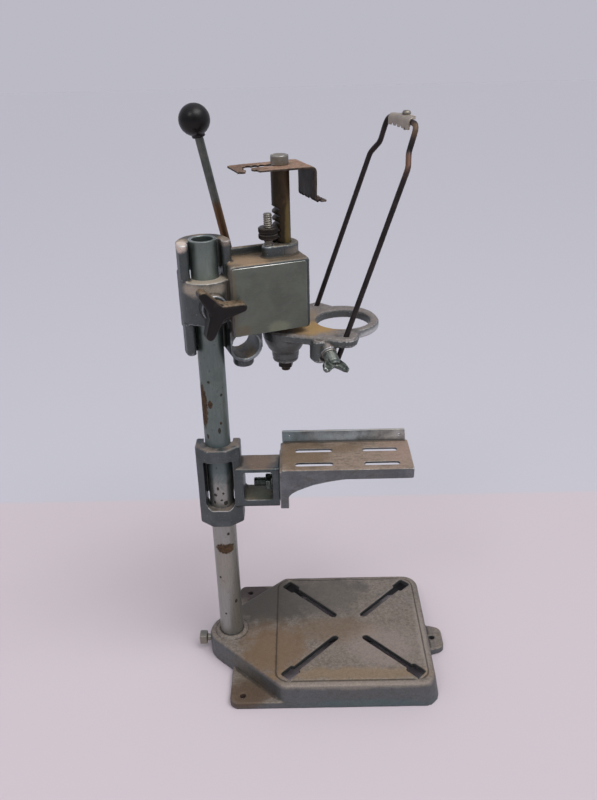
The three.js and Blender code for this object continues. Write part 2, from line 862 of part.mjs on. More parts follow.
// ---- carriage -----------------------------------------------------------
const wingWay = [0.1, -0.83, -0.55];
const wingStart = [104.2, -yokeFootY - 3, carriageTop - 13.6];
const wingFace = 0.6; // lug face behind the wing screw's start
const wingBossLow = 361.5;
const mirrored = ([x, y, z]) => [x, -y, z];

function alongWing(side, distance) {
  const from = side < 0 ? wingStart : mirrored(wingStart);
  const way = side < 0 ? wingWay : mirrored(wingWay);
  const length = Math.hypot(...way);
  return from.map((v, k) => v + (distance * way[k]) / length);
}

const leanWay = [Math.tan(radians(yokeLean)), 0, 1];
const onLeg = (side, z) => [yokeFootX + (z - carriageTop) * leanWay[0], side * yokeFootY, z];

function carriageCasting() {
  const low = carriageTop - carriageThick;
  const webFoot = (side) => [yokeFootX - 5, side * (yokeFootY - 1), 9.8];
  const web = hull([[postX, 0, 21.4], webFoot(-1), webFoot(1)], facets.medium);
  const ring = hull([[ringX, 0, ringOuter], [ringX, ringBack, ringOuter]], facets.large);
  const plate = join(
    slab(web, low, carriageTop, 2, 1),
    slab(ring, low, carriageTop, 2.4, 2),
    slab(hull([[yokeFootX, -yokeFootY, 10.5], [ringX, -20, 12]]), low, carriageTop, 2, 1),
    slab(hull([[yokeFootX, yokeFootY, 10.5], [ringX, 20, 12]]), low, carriageTop, 2, 1),
  );
  const hub = turned([
    [0, carriageTop - 2],
    [20, carriageTop - 2],
    [21.4, low],
    [20, low - 5],
    [16.4, hubLow + 13.5],
    [13.4, hubLow + 10],
    [13.2, hubLow + 4.2],
    [12.4, hubLow + 3.6],
    [12.4, hubLow + 2.8],
    [13, hubLow + 2.2],
    [12, hubLow],
    [0, hubLow],
  ], [postX, 0, 0]);
  const legBosses = [-1, 1].map((side) =>
    rod(9.2, onLeg(side, carriageTop - 3), onLeg(side, low + 1.5)));
  const wingBosses = [-1, 1].map((side) => join(
    slab(hull([[98, side * 34, 8], [98.5, side * 39, 8]], 16), wingBossLow, carriageTop - 2, 1.8, 1),
    rod(8, alongWing(side, -12), alongWing(side, -wingFace), 16),
  ));
  const legHoles = [-1, 1].map((side) =>
    rod(wireRadius + fit, onLeg(side, low - 20), onLeg(side, carriageTop + 20), facets.tiny));
  const wingHoles = [-1, 1].map((side) =>
    rod(wingStudRadius + fit, alongWing(side, -14), alongWing(side, 4), 12));
  const spotFaces = [-1, 1].map((side) =>
    rod(10, alongWing(side, -wingFace), alongWing(side, 16), 16));
  const collarHole = turned([
    [0, low - 20],
    [ringHole, low - 20],
    [ringHole, carriageTop - ringEase],
    [ringHole + 0.9, carriageTop - ringEase * 0.3],
    [ringHole + ringEase, carriageTop],
    [ringHole + ringEase, carriageTop + 5],
    [0, carriageTop + 5],
  ], [ringX, 0, 0], [0, 0, 1], facets.large);
  return cut(
    join(plate, hub, ...legBosses, ...wingBosses),
    collarHole,
    rod(postRadius + fit, [postX, 0, postShoulder - seat], [postX, 0, carriageTop + 5]),
    rod(postTipRadius + fit, [postX, 0, postTip], [postX, 0, carriageTop], facets.tiny),
    ...legHoles,
    ...wingHoles,
    ...spotFaces,
  );
}

function postWasher() {
  const high = hubLow - fit;
  return cut(
    rod(postWasherRadius, [postX, 0, high - postWasherThick], [postX, 0, high]),
    rod(postTipRadius + fit, [postX, 0, postTip], [postX, 0, hubLow + 5], facets.tiny),
  );
}

function postNut() {
  return cut(
    slab(shifted(hexagon(postNutAcross), postX, 0), postNutLow, postNutHigh, 0.7, 1),
    rod(postTipRadius + fit, [postX, 0, postTip], [postX, 0, hubLow + 5], facets.tiny),
  );
}

function wingWasher(side) {
  return cut(
    rod(wingHubRadius + 0.8, alongWing(side, fit - wingFace), alongWing(side, wingHubFoot - 0.3)),
    rod(wingStudRadius + fit, alongWing(side, -3), alongWing(side, 4), 12),
  );
}

function wingScrew(side) {
  const way = new THREE.Vector3(...wingWay).normalize();
  const across = new THREE.Vector3(0.9, 0, -0.42);
  across.addScaledVector(way, -across.dot(way)).normalize();
  const third = new THREE.Vector3().crossVectors(way, across);
  const wings = [-1, 1].map((lean) => {
    const blade = [[0, -6], [0, 3.4], [4, 5], [8.5, 8], [12.6, 8.8], [15, 6], [13, 0], [7.5, -6]];
    const points = lean > 0 ? blade : blade.map(([a, b]) => [-a, b]).reverse();
    const geometry = prism(points, -wingThick / 2, wingThick / 2, 0.9, 1);
    const start = alongWing(-1, wingHubTop - 1);
    const basis = new THREE.Matrix4().makeBasis(across, way, third.clone().negate());
    basis.setPosition(...start);
    return toSolid(geometry.applyMatrix4(basis));
  });
  const barrel = turned(
    [[0, -9], [wingStudRadius, -9], [wingStudRadius, wingHubFoot], [wingHubRadius, wingHubFoot],
      [wingHubRadius, wingHubTop - 3], [wingHubRadius - 1.4, wingHubTop], [0, wingHubTop]],
    wingStart, wingWay, facets.small,
  );
  const screw = join(barrel, ...wings);
  return side < 0 ? screw : screw.mirror([0, 1, 0]);
}

// ---- yoke ---------------------------------------------------------------
class WirePath extends THREE.Curve {
  constructor(stations) {
    super();
    this.stations = stations.map((p) => new THREE.Vector3(...p));
  }

  getPoint(t) {
    const last = this.stations.length - 1;
    const place = Math.min(last - 1e-9, Math.max(0, t * last));
    const k = Math.floor(place);
    return this.stations[k].clone().lerp(this.stations[k + 1], place - k);
  }

  getPointAt(t) {
    return this.getPoint(t);
  }

  getTangent(t) {
    const last = this.stations.length - 1;
    const k = Math.round(t * last);
    const before = this.stations[Math.max(0, k - 1)];
    const here = this.stations[k];
    const after = this.stations[Math.min(last, k + 1)];
    const a = here.clone().sub(before).normalize();
    const b = after.clone().sub(here).normalize();
    return a.add(b).normalize();
  }

  getTangentAt(t) {
    return this.getTangent(t);
  }
}

// Corner points joined by straight runs with a round bend at each corner.
function bentLine(corners, radius, steps) {
  const line = [corners[0]];
  for (let k = 1; k < corners.length - 1; k++) {
    const here = new THREE.Vector3(...corners[k]);
    const back = new THREE.Vector3(...corners[k - 1]).sub(here).normalize();
    const on = new THREE.Vector3(...corners[k + 1]).sub(here).normalize();
    const half = back.angleTo(on) / 2;
    const reach = radius[k] / Math.tan(half);
    const a = here.clone().addScaledVector(back, reach);
    const b = here.clone().addScaledVector(on, reach);
    const curve = new THREE.QuadraticBezierCurve3(a, here, b);
    curve.getPoints(steps).forEach((p) => line.push(p.toArray()));
  }
  line.push(corners.at(-1));
  return line;
}

function yokeCorners() {
  const mirrorTo = (side, [x, y, z]) => [x, side * y, z];
  const leg = (side) => [
    onLeg(side, yokeFootZ),
    onLeg(side, yokeKneeZ),
    mirrorTo(side, yokeShoulder),
    mirrorTo(side, yokeTop),
  ];
  return [...leg(-1), ...leg(1).reverse()];
}

function yokeWire() {
  const line = bentLine(yokeCorners(), [0, 9, 9, 9, 9, 9, 9, 0], 5);
  const ring = new THREE.Shape().absarc(0, 0, wireRadius, 0, 2 * Math.PI);
  const geometry = new THREE.ExtrudeGeometry(ring, {
    steps: line.length - 1,
    curveSegments: 6,
    bevelEnabled: false,
    extrudePath: new WirePath(line),
  });
  return toSolid(geometry);
}

function saddleScrewHole() {
  const at = (z) => [yokeTop[0] + saddleScrewX, saddleScrewY, z];
  return rod(saddleScrewRadius + 0.5, at(yokeTop[2] - 9), at(yokeTop[2] + 9), 16);
}

// Folded plate over the cross bar: hook over the wire, flat wing with a screw.
function yokeSaddle() {
  const [x, , z] = yokeTop;
  const inner = wireRadius + fit;
  const bendRadius = inner + saddleSheet / 2 + 0.05;
  const line = [
    [x - bendRadius, z - 6],
    ...bend(x, z, bendRadius, 180, 70, 6),
    [x + 6.5, z + 3.2],
    [x + 9.6, z + 2.8],
  ];
  const strip = alongY(stripOutline(line, saddleSheet), -saddleHalf, saddleHalf);
  const bites = [-14, -4.5, 4.5, 14].map((y) =>
    rod(3.1, [x - 9, y, z - 7], [x, y, z - 7], 12));
  const ends = [[-14, -30], [20, 30]].map(([near, far]) =>
    slab(hull([[x + 8, near, 5], [x + 8, far, 5], [x + 16, near, 5], [x + 16, far, 5]]), z - 9, z + 9));
  return cut(strip, ...bites, ...ends, saddleScrewHole());
}

function yokeScrew() {
  const [x, , z] = yokeTop;
  const r = saddleScrewRadius;
  return turned([
    [0, -9.5], [r, -9.5], [r, 4.25], [4.2, 4.25], [4, 5.8], [2.9, 7.2], [0, 7.7],
  ], [x + saddleScrewX, saddleScrewY, z], [0, 0, 1], 16);
}

function yokeScrewNut() {
  const [x, , z] = yokeTop;
  return cut(
    slab(shifted(hexagon(saddleNutAcross), x + saddleScrewX, saddleScrewY), z - 7, z - 3.4, 0.4, 1),
    saddleScrewHole(),
  );
}

// ---- table bracket ------------------------------------------------------
// Eight-sided sleeve outline with eased corners.
function tableClampPlan() {
  const ease = 3;
  const side = tableClampRadius - ease;
  const front = tableClampFront - ease;
  return hull([-1, 1].flatMap((x) => [-1, 1].flatMap((y) => [
    [x * side, y * side * 0.4, ease],
    [x * front * 0.5, y * front, ease],
  ])), facets.small);
}

function tableClamp() {
  const body = clampBody(
    tableClampPlan(), tableClampRadius, tableClampGap, tableClampLow, tableClampHigh, 2, [
      { side: 1, from: tableSaddleHigh, to: tableClampHigh + 1 },
      { side: 1, from: tableClampLow - 1, to: tableSaddleLow },
    ]);
  const lug = alongX(rectangle(-lugHalf, lugLow, lugHalf, lugHigh, 2.5), tableClampGap, lugRight);
  const boss = rod(
    shaftBossRadius, [0, tableClampFront - 2, tableScrewZ], [0, tableKnobBack, tableScrewZ], facets.medium,
  );
  const window = alongY(
    rectangle(lugWindowLeft, lugWindowLow, lugWindowRight, lugWindowHigh, 3), -40, 40,
  );
  const half = tableClampGap;
  const frontWindow = alongY(hull([-1, 1].flatMap((x) => [
    [x * (half - 3), tableWindowHigh - 3, 3],
    [x * (half - 8), tableWindowLow + 8, 8],
  ]), facets.medium), -60, 0);
  return cut(
    join(body, lug, boss),
    rod(columnBore, [0, 0, tableClampLow - 5], [0, 0, tableClampHigh + 5], facets.large),
    block(-half, half, 0, 60, tableSaddleHigh, tableClampHigh + 5),
    block(-half, half, 0, 60, tableClampLow - 5, tableSaddleLow),
    frontWindow,
    window,
    tiltHole(),
    rod(studRadius + fit, [0, 0, tableScrewZ], [0, 60, tableScrewZ], facets.tiny),
  );
}

const tiltHole = () => rod(tiltBoltRadius + fit, [30, 0, tiltZ], [90, 0, tiltZ], 16);
const tiltHexagon = () => shifted(hexagon(tiltNutAcross, Math.PI / 6), 0, tiltZ);
const tiltWasherLeft = lugWindowRight - fit - tiltWasherThick;

function tiltBolt() {
  const face = tableEndRight + fit;
  const head = alongX(tiltHexagon(), face, face + tiltHeadThick, 0.8, 1);
  return join(head, rod(tiltBoltRadius, [tiltBoltTip, 0, tiltZ], [face + 1, 0, tiltZ], 16));
}

function tiltNut() {
  const right = tiltWasherLeft - fit;
  return cut(alongX(tiltHexagon(), right - tiltNutThick, right, 0.8, 1), tiltHole());
}

function tiltWasher() {
  const from = [tiltWasherLeft, 0, tiltZ];
  return cut(rod(tiltWasherRadius, from, [tiltWasherLeft + tiltWasherThick, 0, tiltZ]), tiltHole());
}

function workTable() {
  const wall = tableWall;
  const lipLow = tableTop - tableLip;
  const joint = lugRight + seat + 0.1;
  const plan = rectangle(tableLeft, tableFront, tableRight, tableBack, 2);
  const body = slab(plan, lipLow, tableTop, 0.8, 1);
  const under = block(
    tableLeft + wall, tableRight - wall, tableFront + wall, tableBack - wall, lipLow - 5,
    tableTop - tablePlate,
  );
  const footRight = tableEndRight + 1.2;
  const gusset = [[0, 0], [0, 18], [3.6, 22], [9, 25.2], [16.6, 28.3], [24.6, 31.3], [39.6, 35]];
  const web = [
    [joint + 1, tableTop - 2], [joint + 1, tableFootLow], ...shifted(gusset, footRight, tableFootLow),
    [footRight + 56, lipLow + 0.2], [footRight + 56, tableTop - 2],
  ];
  const webs = [
    alongY(web, tableFront, tableFront + wall),
    alongY(web, tableBack - wall, tableBack),
  ];
  const endPlan = [-1, 1].flatMap((y) => [[y * 17, tableTop - 12, 8], [y * 9, tableFootLow + 6.5, 7.5]]);
  const endWall = alongX(hull(endPlan, facets.tiny), joint, tableEndRight);
  const apron = alongX(
    rectangle(tableFront, tableFootLow, tableBack, tableTop - 1.5, 2), joint + 0.9, tableEndRight - 2.2,
  );
  const fence = alongY(
    [[tableLeft, tableTop - 6], [tableRight - 2, tableTop - 6], [tableRight - 3.6, fenceHigh],
      [tableLeft, fenceHigh]],
    tableBack - fenceThick, tableBack,
  );
  const slotRuns = [[tableLeft + 16.5, tableLeft + 48], [tableRight - 45.5, tableRight - 16.5]];
  const slots = slotRuns.flatMap((run) => [-17.6, 9.6].map((y) =>
    slab(hull(run.map((x) => [x, y, tableSlotRadius]), 12), lipLow, tableTop + 5)));
  const holes = [tableLeft + 7.5, tableRight - 9.5].map((x) =>
    rod(fenceHoleRadius, [x, tableBack - 9, fenceHoleZ], [x, tableBack + 6, fenceHoleZ], 10));
  return cut(
    join(cut(body, under), ...webs, endWall, apron, fence),
    ...slots,
    ...holes,
    tiltHole(),
  );
}

// ---- assembly -----------------------------------------------------------
function buildBase() {
  const group = new THREE.Group();
  group.name = "base";
  group.add(toMesh("base_casting", baseCasting(), castGrey()));
  group.add(toMesh("column_set_screw", columnSetScrew(), plated()));
  group.add(toMesh("column_tube", columnTube(), tubeGrey()));
  return group;
}

function buildHead() {
  const group = new THREE.Group();
  group.name = "head";
  group.rotation.z = radians(headSwivel);
  const knob = clampKnob([0, clampScrewZ], knobFace, -1, 0.11);
  group.add(toMesh("head_casting", headCasting(), castGrey()));
  group.add(toMesh("gear_cover", gearCover(), satinPlate()));
  group.add(toMesh("head_clamp_stud", clampStud(-1, clampScrewZ, knobFace), darkSteel()));
  group.add(toMesh("head_clamp_knob", knob, blackPlastic()));
  group.add(toMesh("feed_pinion", pinion(), darkSteel()));
  group.add(toMesh("feed_shaft", feedShaft(), plated()));
  group.add(toMesh("shaft_collar", shaftCollar(), plated()));
  group.add(toMesh("lever_hub", leverHub(), castGrey()));
  group.add(toMesh("lever_rod", leverRod(), rustySteel()));
  group.add(toMesh("lever_ball", leverBall(), blackPlastic()));
  group.add(toMesh("post_rack", postRack(), darkSteel()));
  group.add(toMesh("post_cap", postCap(), plated()));
  group.add(toMesh("post_washer", postWasher(), darkSteel()));
  group.add(toMesh("post_nut", postNut(), darkSteel()));
  group.add(toMesh("stop_rod", stopRod(), plated()));
  group.add(toMesh("stop_nut", stopNut(), darkSteel()));
  group.add(toMesh("steady_bracket", steadyBracket(), rustySteel()));
  group.add(buildCarriage());
  return group;
}

function buildCarriage() {
  const group = new THREE.Group();
  group.name = "carriage";
  const turn = radians(carriageTurn);
  group.rotation.z = turn;
  group.position.set(postX * (1 - Math.cos(turn)), -postX * Math.sin(turn), 0);
  group.add(toMesh("carriage_casting", carriageCasting(), castGrey()));
  group.add(toMesh("yoke_wire", yokeWire(), darkSteel()));
  group.add(toMesh("yoke_saddle", yokeSaddle(), plated()));
  group.add(toMesh("yoke_screw", yokeScrew(), plated()));
  group.add(toMesh("yoke_screw_nut", yokeScrewNut(), plated()));
  for (const [side, tag] of [[-1, "front"], [1, "back"]]) {
    group.add(toMesh(`wing_washer_${tag}`, wingWasher(side), plated()));
    group.add(toMesh(`wing_screw_${tag}`, wingScrew(side), plated()));
  }
  return group;
}

function buildTable() {
  const group = new THREE.Group();
  group.name = "table";
  const face = tableKnobBack + knobGap;
  const knob = clampKnob([0, tableScrewZ], face, 1, Math.PI / 2);
  group.add(toMesh("table_clamp", tableClamp(), castGrey()));
  group.add(toMesh("table_clamp_stud", clampStud(1, tableScrewZ, face), darkSteel()));
  group.add(toMesh("table_clamp_knob", knob, blackPlastic()));
  group.add(toMesh("work_table", workTable(), castGrey()));
  group.add(toMesh("tilt_bolt", tiltBolt(), plated()));
  group.add(toMesh("tilt_nut", tiltNut(), plated()));
  group.add(toMesh("tilt_washer", tiltWasher(), plated()));
  return group;
}

const stand = new THREE.Group();
stand.name = "drill_stand";
stand.add(buildBase(), buildHead(), buildTable());
stand.updateMatrixWorld(true);

export default stand;
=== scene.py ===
import math

import bmesh
import bpy
import numpy as np
from mathutils import Matrix, Vector, noise


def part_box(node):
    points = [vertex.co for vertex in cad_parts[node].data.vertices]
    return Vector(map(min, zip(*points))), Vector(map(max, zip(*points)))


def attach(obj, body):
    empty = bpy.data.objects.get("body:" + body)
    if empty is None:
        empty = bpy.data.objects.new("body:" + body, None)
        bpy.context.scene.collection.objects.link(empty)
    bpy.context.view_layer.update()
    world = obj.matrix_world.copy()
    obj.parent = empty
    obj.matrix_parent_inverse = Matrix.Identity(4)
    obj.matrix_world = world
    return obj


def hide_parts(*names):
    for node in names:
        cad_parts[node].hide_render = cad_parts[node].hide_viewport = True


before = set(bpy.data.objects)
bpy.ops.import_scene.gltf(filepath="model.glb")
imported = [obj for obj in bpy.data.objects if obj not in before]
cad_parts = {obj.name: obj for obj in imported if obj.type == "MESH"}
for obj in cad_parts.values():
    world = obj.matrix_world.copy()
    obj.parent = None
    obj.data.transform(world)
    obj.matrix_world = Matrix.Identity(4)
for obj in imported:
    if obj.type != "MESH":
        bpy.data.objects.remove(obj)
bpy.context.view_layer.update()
mm = 0.001
print("stand loaded:", len(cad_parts), "parts")


# Hex colour to the linear one a shader takes.
def paint(hexColour):
    channels = [int(hexColour[k:k + 2], 16) / 255 for k in (0, 2, 4)]
    linear = [c / 12.92 if c <= 0.04045 else ((c + 0.055) / 1.055) ** 2.4 for c in channels]
    return (*linear, 1.0)


def vectorsOf(items, key):
    flat = np.zeros(len(items) * 3, np.float64)
    items.foreach_get(key, flat)
    return flat.reshape(-1, 3)


def normalsOf(mesh):
    return vectorsOf(mesh.vertex_normals, "vector")


# Points, axes and profiles are in millimetres; only the meshes are in metres.
def nodePoints(node):
    return np.unique(np.round(vectorsOf(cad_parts[node].data.vertices, "co") / mm, 4), axis=0)


def unit(vector):
    vector = np.array(vector, float)
    return vector / np.linalg.norm(vector)


# Axis of a round part: its start, direction, length, and largest and smallest radius.
def axisOf(node, towards, disc=False):
    points = nodePoints(node)
    centre = (points.min(0) + points.max(0)) / 2 if disc else points.mean(0)
    way = np.linalg.eigh(np.cov((points - points.mean(0)).T))[1][:, 0 if disc else 2]
    if way @ np.array(towards, float) < 0:
        way = -way
    along = (points - centre) @ way
    away = np.linalg.norm(points - centre - np.outer(along, way), axis=1)
    return {"start": centre + along.min() * way, "way": way,
            "length": along.max() - along.min(), "outer": away.max(), "inner": away.min()}


def placed(name, data):
    made = bpy.data.objects.new(name, data)
    bpy.context.scene.collection.objects.link(made)
    return made


# Gives a finished mesh its marks, its finish and its place in the stand.
def dress(piece, ride, replaces, finish, edge):
    mesh = piece.data
    mesh.polygons.foreach_set("use_smooth", [True] * len(mesh.polygons))
    for key, values in (("edge", edge), ("up", normalsOf(mesh)[:, 2])):
        layer = mesh.attributes.new(key, "FLOAT", "POINT")
        layer.data.foreach_set("value", np.asarray(values, np.float32))
    mesh.materials.clear()
    mesh.materials.append(finish)
    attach(piece, ride)
    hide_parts(replaces)


def reworked(mesh, change):
    work = bmesh.new()
    work.from_mesh(mesh)
    change(work)
    work.to_mesh(mesh)
    work.free()
    mesh.update()


# One pass of easing each point towards the middle of its neighbours.
def relax(points, edges, share):
    count = len(points)
    links = np.bincount(edges[:, 0], minlength=count) + np.bincount(edges[:, 1], minlength=count)
    eased = np.empty_like(points)
    for axis in range(3):
        total = np.bincount(edges[:, 0], weights=points[edges[:, 1], axis], minlength=count)
        total += np.bincount(edges[:, 1], weights=points[edges[:, 0], axis], minlength=count)
        eased[:, axis] = total / np.maximum(links, 1)
    return points + share * (eased - points)


def rippled(points, normals, height, length, seed=0.0):
    shift = Vector((seed, seed * 1.7, -seed))
    push = np.array([noise.noise(Vector(p) / length + shift) for p in points])
    return points + normals * (push * height)[:, None]


# Upright prism on an outline, to cut a piece with.
def prism(outline, low, high):
    mesh = bpy.data.meshes.new("bite")
    count = len(outline)
    points = [(u * mm, v * mm, z * mm) for z in (low, high) for u, v in outline]
    sides = [(k, (k + 1) % count, (k + 1) % count + count, k + count) for k in range(count)]
    ends = [tuple(reversed(range(count))), tuple(range(count, 2 * count))]
    mesh.from_pydata(points, [], ends + sides)
    return placed("bite", mesh)


def setPoints(mesh, points):
    mesh.vertices.foreach_set("co", (points * mm).ravel())
    mesh.update()
    return normalsOf(mesh)


# How a skin is eased, how far round a point the edge marks look (corners worn and given a painted highlight,
# hollows grimed and given painted shade), and the casting's pits.
skin = {"passes": 2, "ease": 0.5, "spring": -0.52, "roundReach": 0.28, "edgeGrid": 0.85,
        "edgePasses": 7, "edgeMost": 36, "edgeEase": 0.6, "pitLength": 2.6, "pitSeed": 7.0}


# Brings points close to a round wall exactly onto it.
def trueRound(points, centre, way, radius):
    way = unit(way)
    offset = points - np.array(centre, float)
    along = np.outer(offset @ way, way)
    across = offset - along
    distance = np.linalg.norm(across, axis=1)
    near = np.abs(distance - radius) < skin["roundReach"]
    scale = np.where(near, radius / np.maximum(distance, 1e-9), 1.0)
    return np.array(centre, float) + along + across * scale[:, None]


# A cast or bent part: one even skin over the node, with its corners eased. "turn" lines the skin's
# grid up with the part's own walls.
def softPiece(part, finish):
    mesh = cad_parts[part["node"]].data.copy()
    reworked(mesh, lambda work: bmesh.ops.remove_doubles(work, verts=work.verts, dist=1e-6))
    turn = Matrix.Rotation(math.radians(part.get("turn", 0)), 4, "Z")
    mesh.transform(turn.inverted())
    piece = placed(part["name"], mesh)
    cutters = [prism(*bite) for bite in part.get("bites", [])]
    for cutter in cutters:
        cut = piece.modifiers.new("bite", "BOOLEAN")
        cut.operation = "DIFFERENCE"
        cut.object = cutter
    remesh = piece.modifiers.new("skin", "REMESH")
    remesh.mode = "VOXEL"
    remesh.voxel_size = part["grid"] * mm
    remesh.adaptivity = 0
    graph = bpy.context.evaluated_depsgraph_get()
    fine = bpy.data.meshes.new_from_object(piece.evaluated_get(graph))
    piece.modifiers.clear()
    for cutter in cutters:
        bpy.data.objects.remove(cutter)
    piece.data = fine
    fine.name = part["name"]
    fine.transform(turn)
    edges = np.zeros(len(fine.edges) * 2, np.int64)
    fine.edges.foreach_get("vertices", edges)
    edges = edges.reshape(-1, 2)

    points = vectorsOf(fine.vertices, "co") / mm
    low, high = nodePoints(part["node"]).min(0), nodePoints(part["node"]).max(0)
    for _ in range(part.get("ease", skin["passes"])):
        points = relax(points, edges, skin["ease"])
        points = relax(points, edges, skin["spring"])
    for centre, way, radius in part.get("rounds", []):
        points = trueRound(points, centre, way, radius)
    normals = setPoints(fine, points)

    # how far each point stands out from its wide surroundings: corners rub bare and take a painted highlight,
    # hollows gather grime and painted shade
    far = points
    wide = math.ceil(skin["edgePasses"] * (skin["edgeGrid"] / part["grid"]) ** 2)
    for _ in range(min(skin["edgeMost"], wide)):
        far = relax(far, edges, skin["edgeEase"])
    bulge = ((points - far) * normals).sum(1) / skin["edgeGrid"]

    if part.get("ripple"):
        points = rippled(points, normals, part["ripple"], part["rippleLength"])
    if part.get("pits"):
        points = rippled(points, normals, part["pits"], skin["pitLength"], skin["pitSeed"])
    if part.get("wornShape"):
        points = part["wornShape"](points)
    points = np.clip(points, low, high)
    setPoints(fine, points)
    if part.get("marks"):
        bulge = part["marks"](points, bulge)
    print("  ", part["name"], "faces", len(fine.polygons))
    dress(piece, part["ride"], part["node"], finish, bulge)


# How a profile's corner is cut: most of a side it may take, the flat kept beside it, its edge mark (wear and
# painted highlight where it stands out, grime and painted shade where it is hollow).
corners = {"most": 0.42, "flat": 0.7, "flatShare": 0.3, "mark": 0.8}


# Profile of [radius, height] with each corner rounded; a third number marks each corner: wear and painted
# highlight where it stands out, grime and painted shade where it is hollow.
def easedProfile(profile, radius, closed=False, steps=4):
    count = len(profile)
    result = []
    area = sum(profile[k][0] * profile[(k + 1) % count][1] - profile[(k + 1) % count][0] * profile[k][1]
               for k in range(count))
    for k in range(count):
        here = np.array(profile[k], float)
        if not closed and k in (0, count - 1):
            result.append((*here, 0.0))
            continue
        back = np.array(profile[k - 1], float) - here
        on = np.array(profile[(k + 1) % count], float) - here
        lengths = np.array([np.linalg.norm(back), np.linalg.norm(on)])
        reach = min(radius, *(corners["most"] * lengths))
        a, b = here + unit(back) * reach, here + unit(on) * reach
        turn = back[0] * on[1] - back[1] * on[0]
        mark = corners["mark"] if (turn < 0) == (area > 0) else -corners["mark"]
        backFlat, onFlat = np.minimum(corners["flat"], corners["flatShare"] * lengths)
        result.append((*(a + unit(back) * backFlat), 0.0))
        for s in range(steps + 1):
            t = s / steps
            result.append((*((1 - t) ** 2 * a + 2 * t * (1 - t) * here + t * t * b), mark))
        result.append((*(b + unit(on) * onFlat), 0.0))
    return result


def dividedProfile(profile, step):
    result = [profile[0]]
    for a, b in zip(profile, profile[1:]):
        parts = max(1, math.ceil(math.hypot(b[0] - a[0], b[1] - a[1]) / step))
        for k in range(1, parts + 1):
            result.append(tuple(a[i] + (b[i] - a[i]) * k / parts for i in range(3)))
    return result


# A turned part. shape(angle, height, radius) may change the radius, as a thread or a knurl does.
def turnedPiece(name, profile, axis, ride, replaces, finish, sides=64, closed=False,
                shape=None, across=(1, 0, 0)):
    way = unit(axis["way"])
    if abs(unit(across) @ way) > 0.95:
        across = np.cross(way, (0, 1, 0))
    first = unit(across - way * (way @ across))
    second = np.cross(way, first)
    points, marks, rings = [], [], []
    for radius, height, mark in profile:
        tip = radius < 1e-4 and not closed
        rings.append([])
        for k in range(1 if tip else sides):
            angle = 2 * math.pi * k / sides
            r = shape(angle, height, radius) if shape and not tip else radius
            rings[-1].append(len(points))
            points.append(axis["start"] + way * height
                          + r * (math.cos(angle) * first + math.sin(angle) * second))
            marks.append(mark)
    faces = []
    for a, b in zip(rings, rings[1:] + rings[:1] if closed else rings[1:]):
        for k in range(sides):
            n = (k + 1) % sides
            if len(a) == 1 and len(b) > 1:
                faces.append([a[0], b[n], b[k]])
            elif len(b) == 1 and len(a) > 1:
                faces.append([a[k], a[n], b[0]])
            elif len(a) > 1:
                faces.append([a[k], a[n], b[n], b[k]])
    mesh = bpy.data.meshes.new(name)
    mesh.from_pydata((np.asarray(points) * mm).tolist(), [], faces)
    mesh.validate()
    reworked(mesh, lambda work: bmesh.ops.recalc_face_normals(work, faces=work.faces))
    dress(placed(name, mesh), ride, replaces, finish, marks)


def thread(pitch, depth, low, high):
    flank, crest = 2.6, 0.15

    def shape(angle, height, radius):
        if not low < height < high or radius < depth * 2:
            return radius
        phase = (height / pitch - angle / (2 * math.pi)) % 1
        fade = min(1, (height - low) / pitch, (high - height) / pitch)
        return radius - fade * depth * min(1, max(0, flank * abs(phase - 0.5) - crest))
    return shape


# Finishes: small helpers for the shader trees, then one builder for all the old metal.
def add(tree, kind, settings=None, **values):
    made = tree.nodes.new("ShaderNode" + kind)
    for key, value in (settings or {}).items():
        setattr(made, key, value)
    for key, value in values.items():
        socket = made.inputs[int(key[1:])] if key[0] == "_" else made.inputs[key]
        plug(tree, socket, value)
    return made


def plug(tree, socket, value):
    if isinstance(value, bpy.types.NodeSocket):
        tree.links.new(value, socket)
    else:
        socket.default_value = value


def grainOf(tree, coords, scale, detail, rough, twist):
    return add(tree, "TexNoise", Vector=coords, Scale=scale, Detail=detail, Roughness=rough,
               Distortion=twist).outputs["Fac"]


def remap(tree, value, low, high, out=(0.0, 1.0), smooth=True):
    made = add(tree, "MapRange", {"interpolation_type": "SMOOTHSTEP" if smooth else "LINEAR"})
    tree.links.new(value, made.inputs["Value"])
    for key, number in zip(("From Min", "From Max", "To Min", "To Max"), (low, high, *out)):
        made.inputs[key].default_value = number
    return made.outputs["Result"]


def sums(tree, operation, a, b):
    return add(tree, "Math", {"operation": operation}, _0=a, _1=b).outputs[0]


def vectorSums(tree, operation, a, b=(0.0, 0.0, 0.0), out=0):
    return add(tree, "VectorMath", {"operation": operation}, _0=a, _1=b).outputs[out]


# The value moved up and down by a noise, with the noise's middle left out.
def wander(tree, value, noisy, amount):
    return sums(tree, "ADD", value, sums(tree, "MULTIPLY", sums(tree, "SUBTRACT", noisy, 0.5), amount))


def blendColour(tree, share, a, b, mode="MIX"):
    made = add(tree, "Mix", {"data_type": "RGBA", "blend_type": mode}, _0=share, _6=a, _7=b)
    return made.outputs[2]


def blendValue(tree, share, a, b):
    return add(tree, "Mix", {"data_type": "FLOAT"}, _0=share, _2=a, _3=b).outputs[0]


# A ragged patch round a place on the part; soft is how gently it fades out.
def patchAt(tree, coords, centre, size, noisy, ragged, soft):
    offset = vectorSums(tree, "SUBTRACT", coords, [c * mm for c in centre])
    scaled = vectorSums(tree, "DIVIDE", offset, [s * mm for s in size])
    distance = vectorSums(tree, "LENGTH", scaled, out="Value")
    return remap(tree, wander(tree, distance, noisy, ragged), 1.0 + soft / 2, 1.0 - soft / 2)


# What a finish has unless its own dictionary says otherwise.
plainLook = {"metal": 0.75, "coveredMetal": 0.15, "blotch": 70, "drift": 16, "grain": 900, "grainTone": 0.16,
             "speck": 380, "pits": 620, "shadeWander": 0.03, "lie": (0.3, 0.9), "brightSide": (0.35, 1.0),
             "brightRough": 0.3}
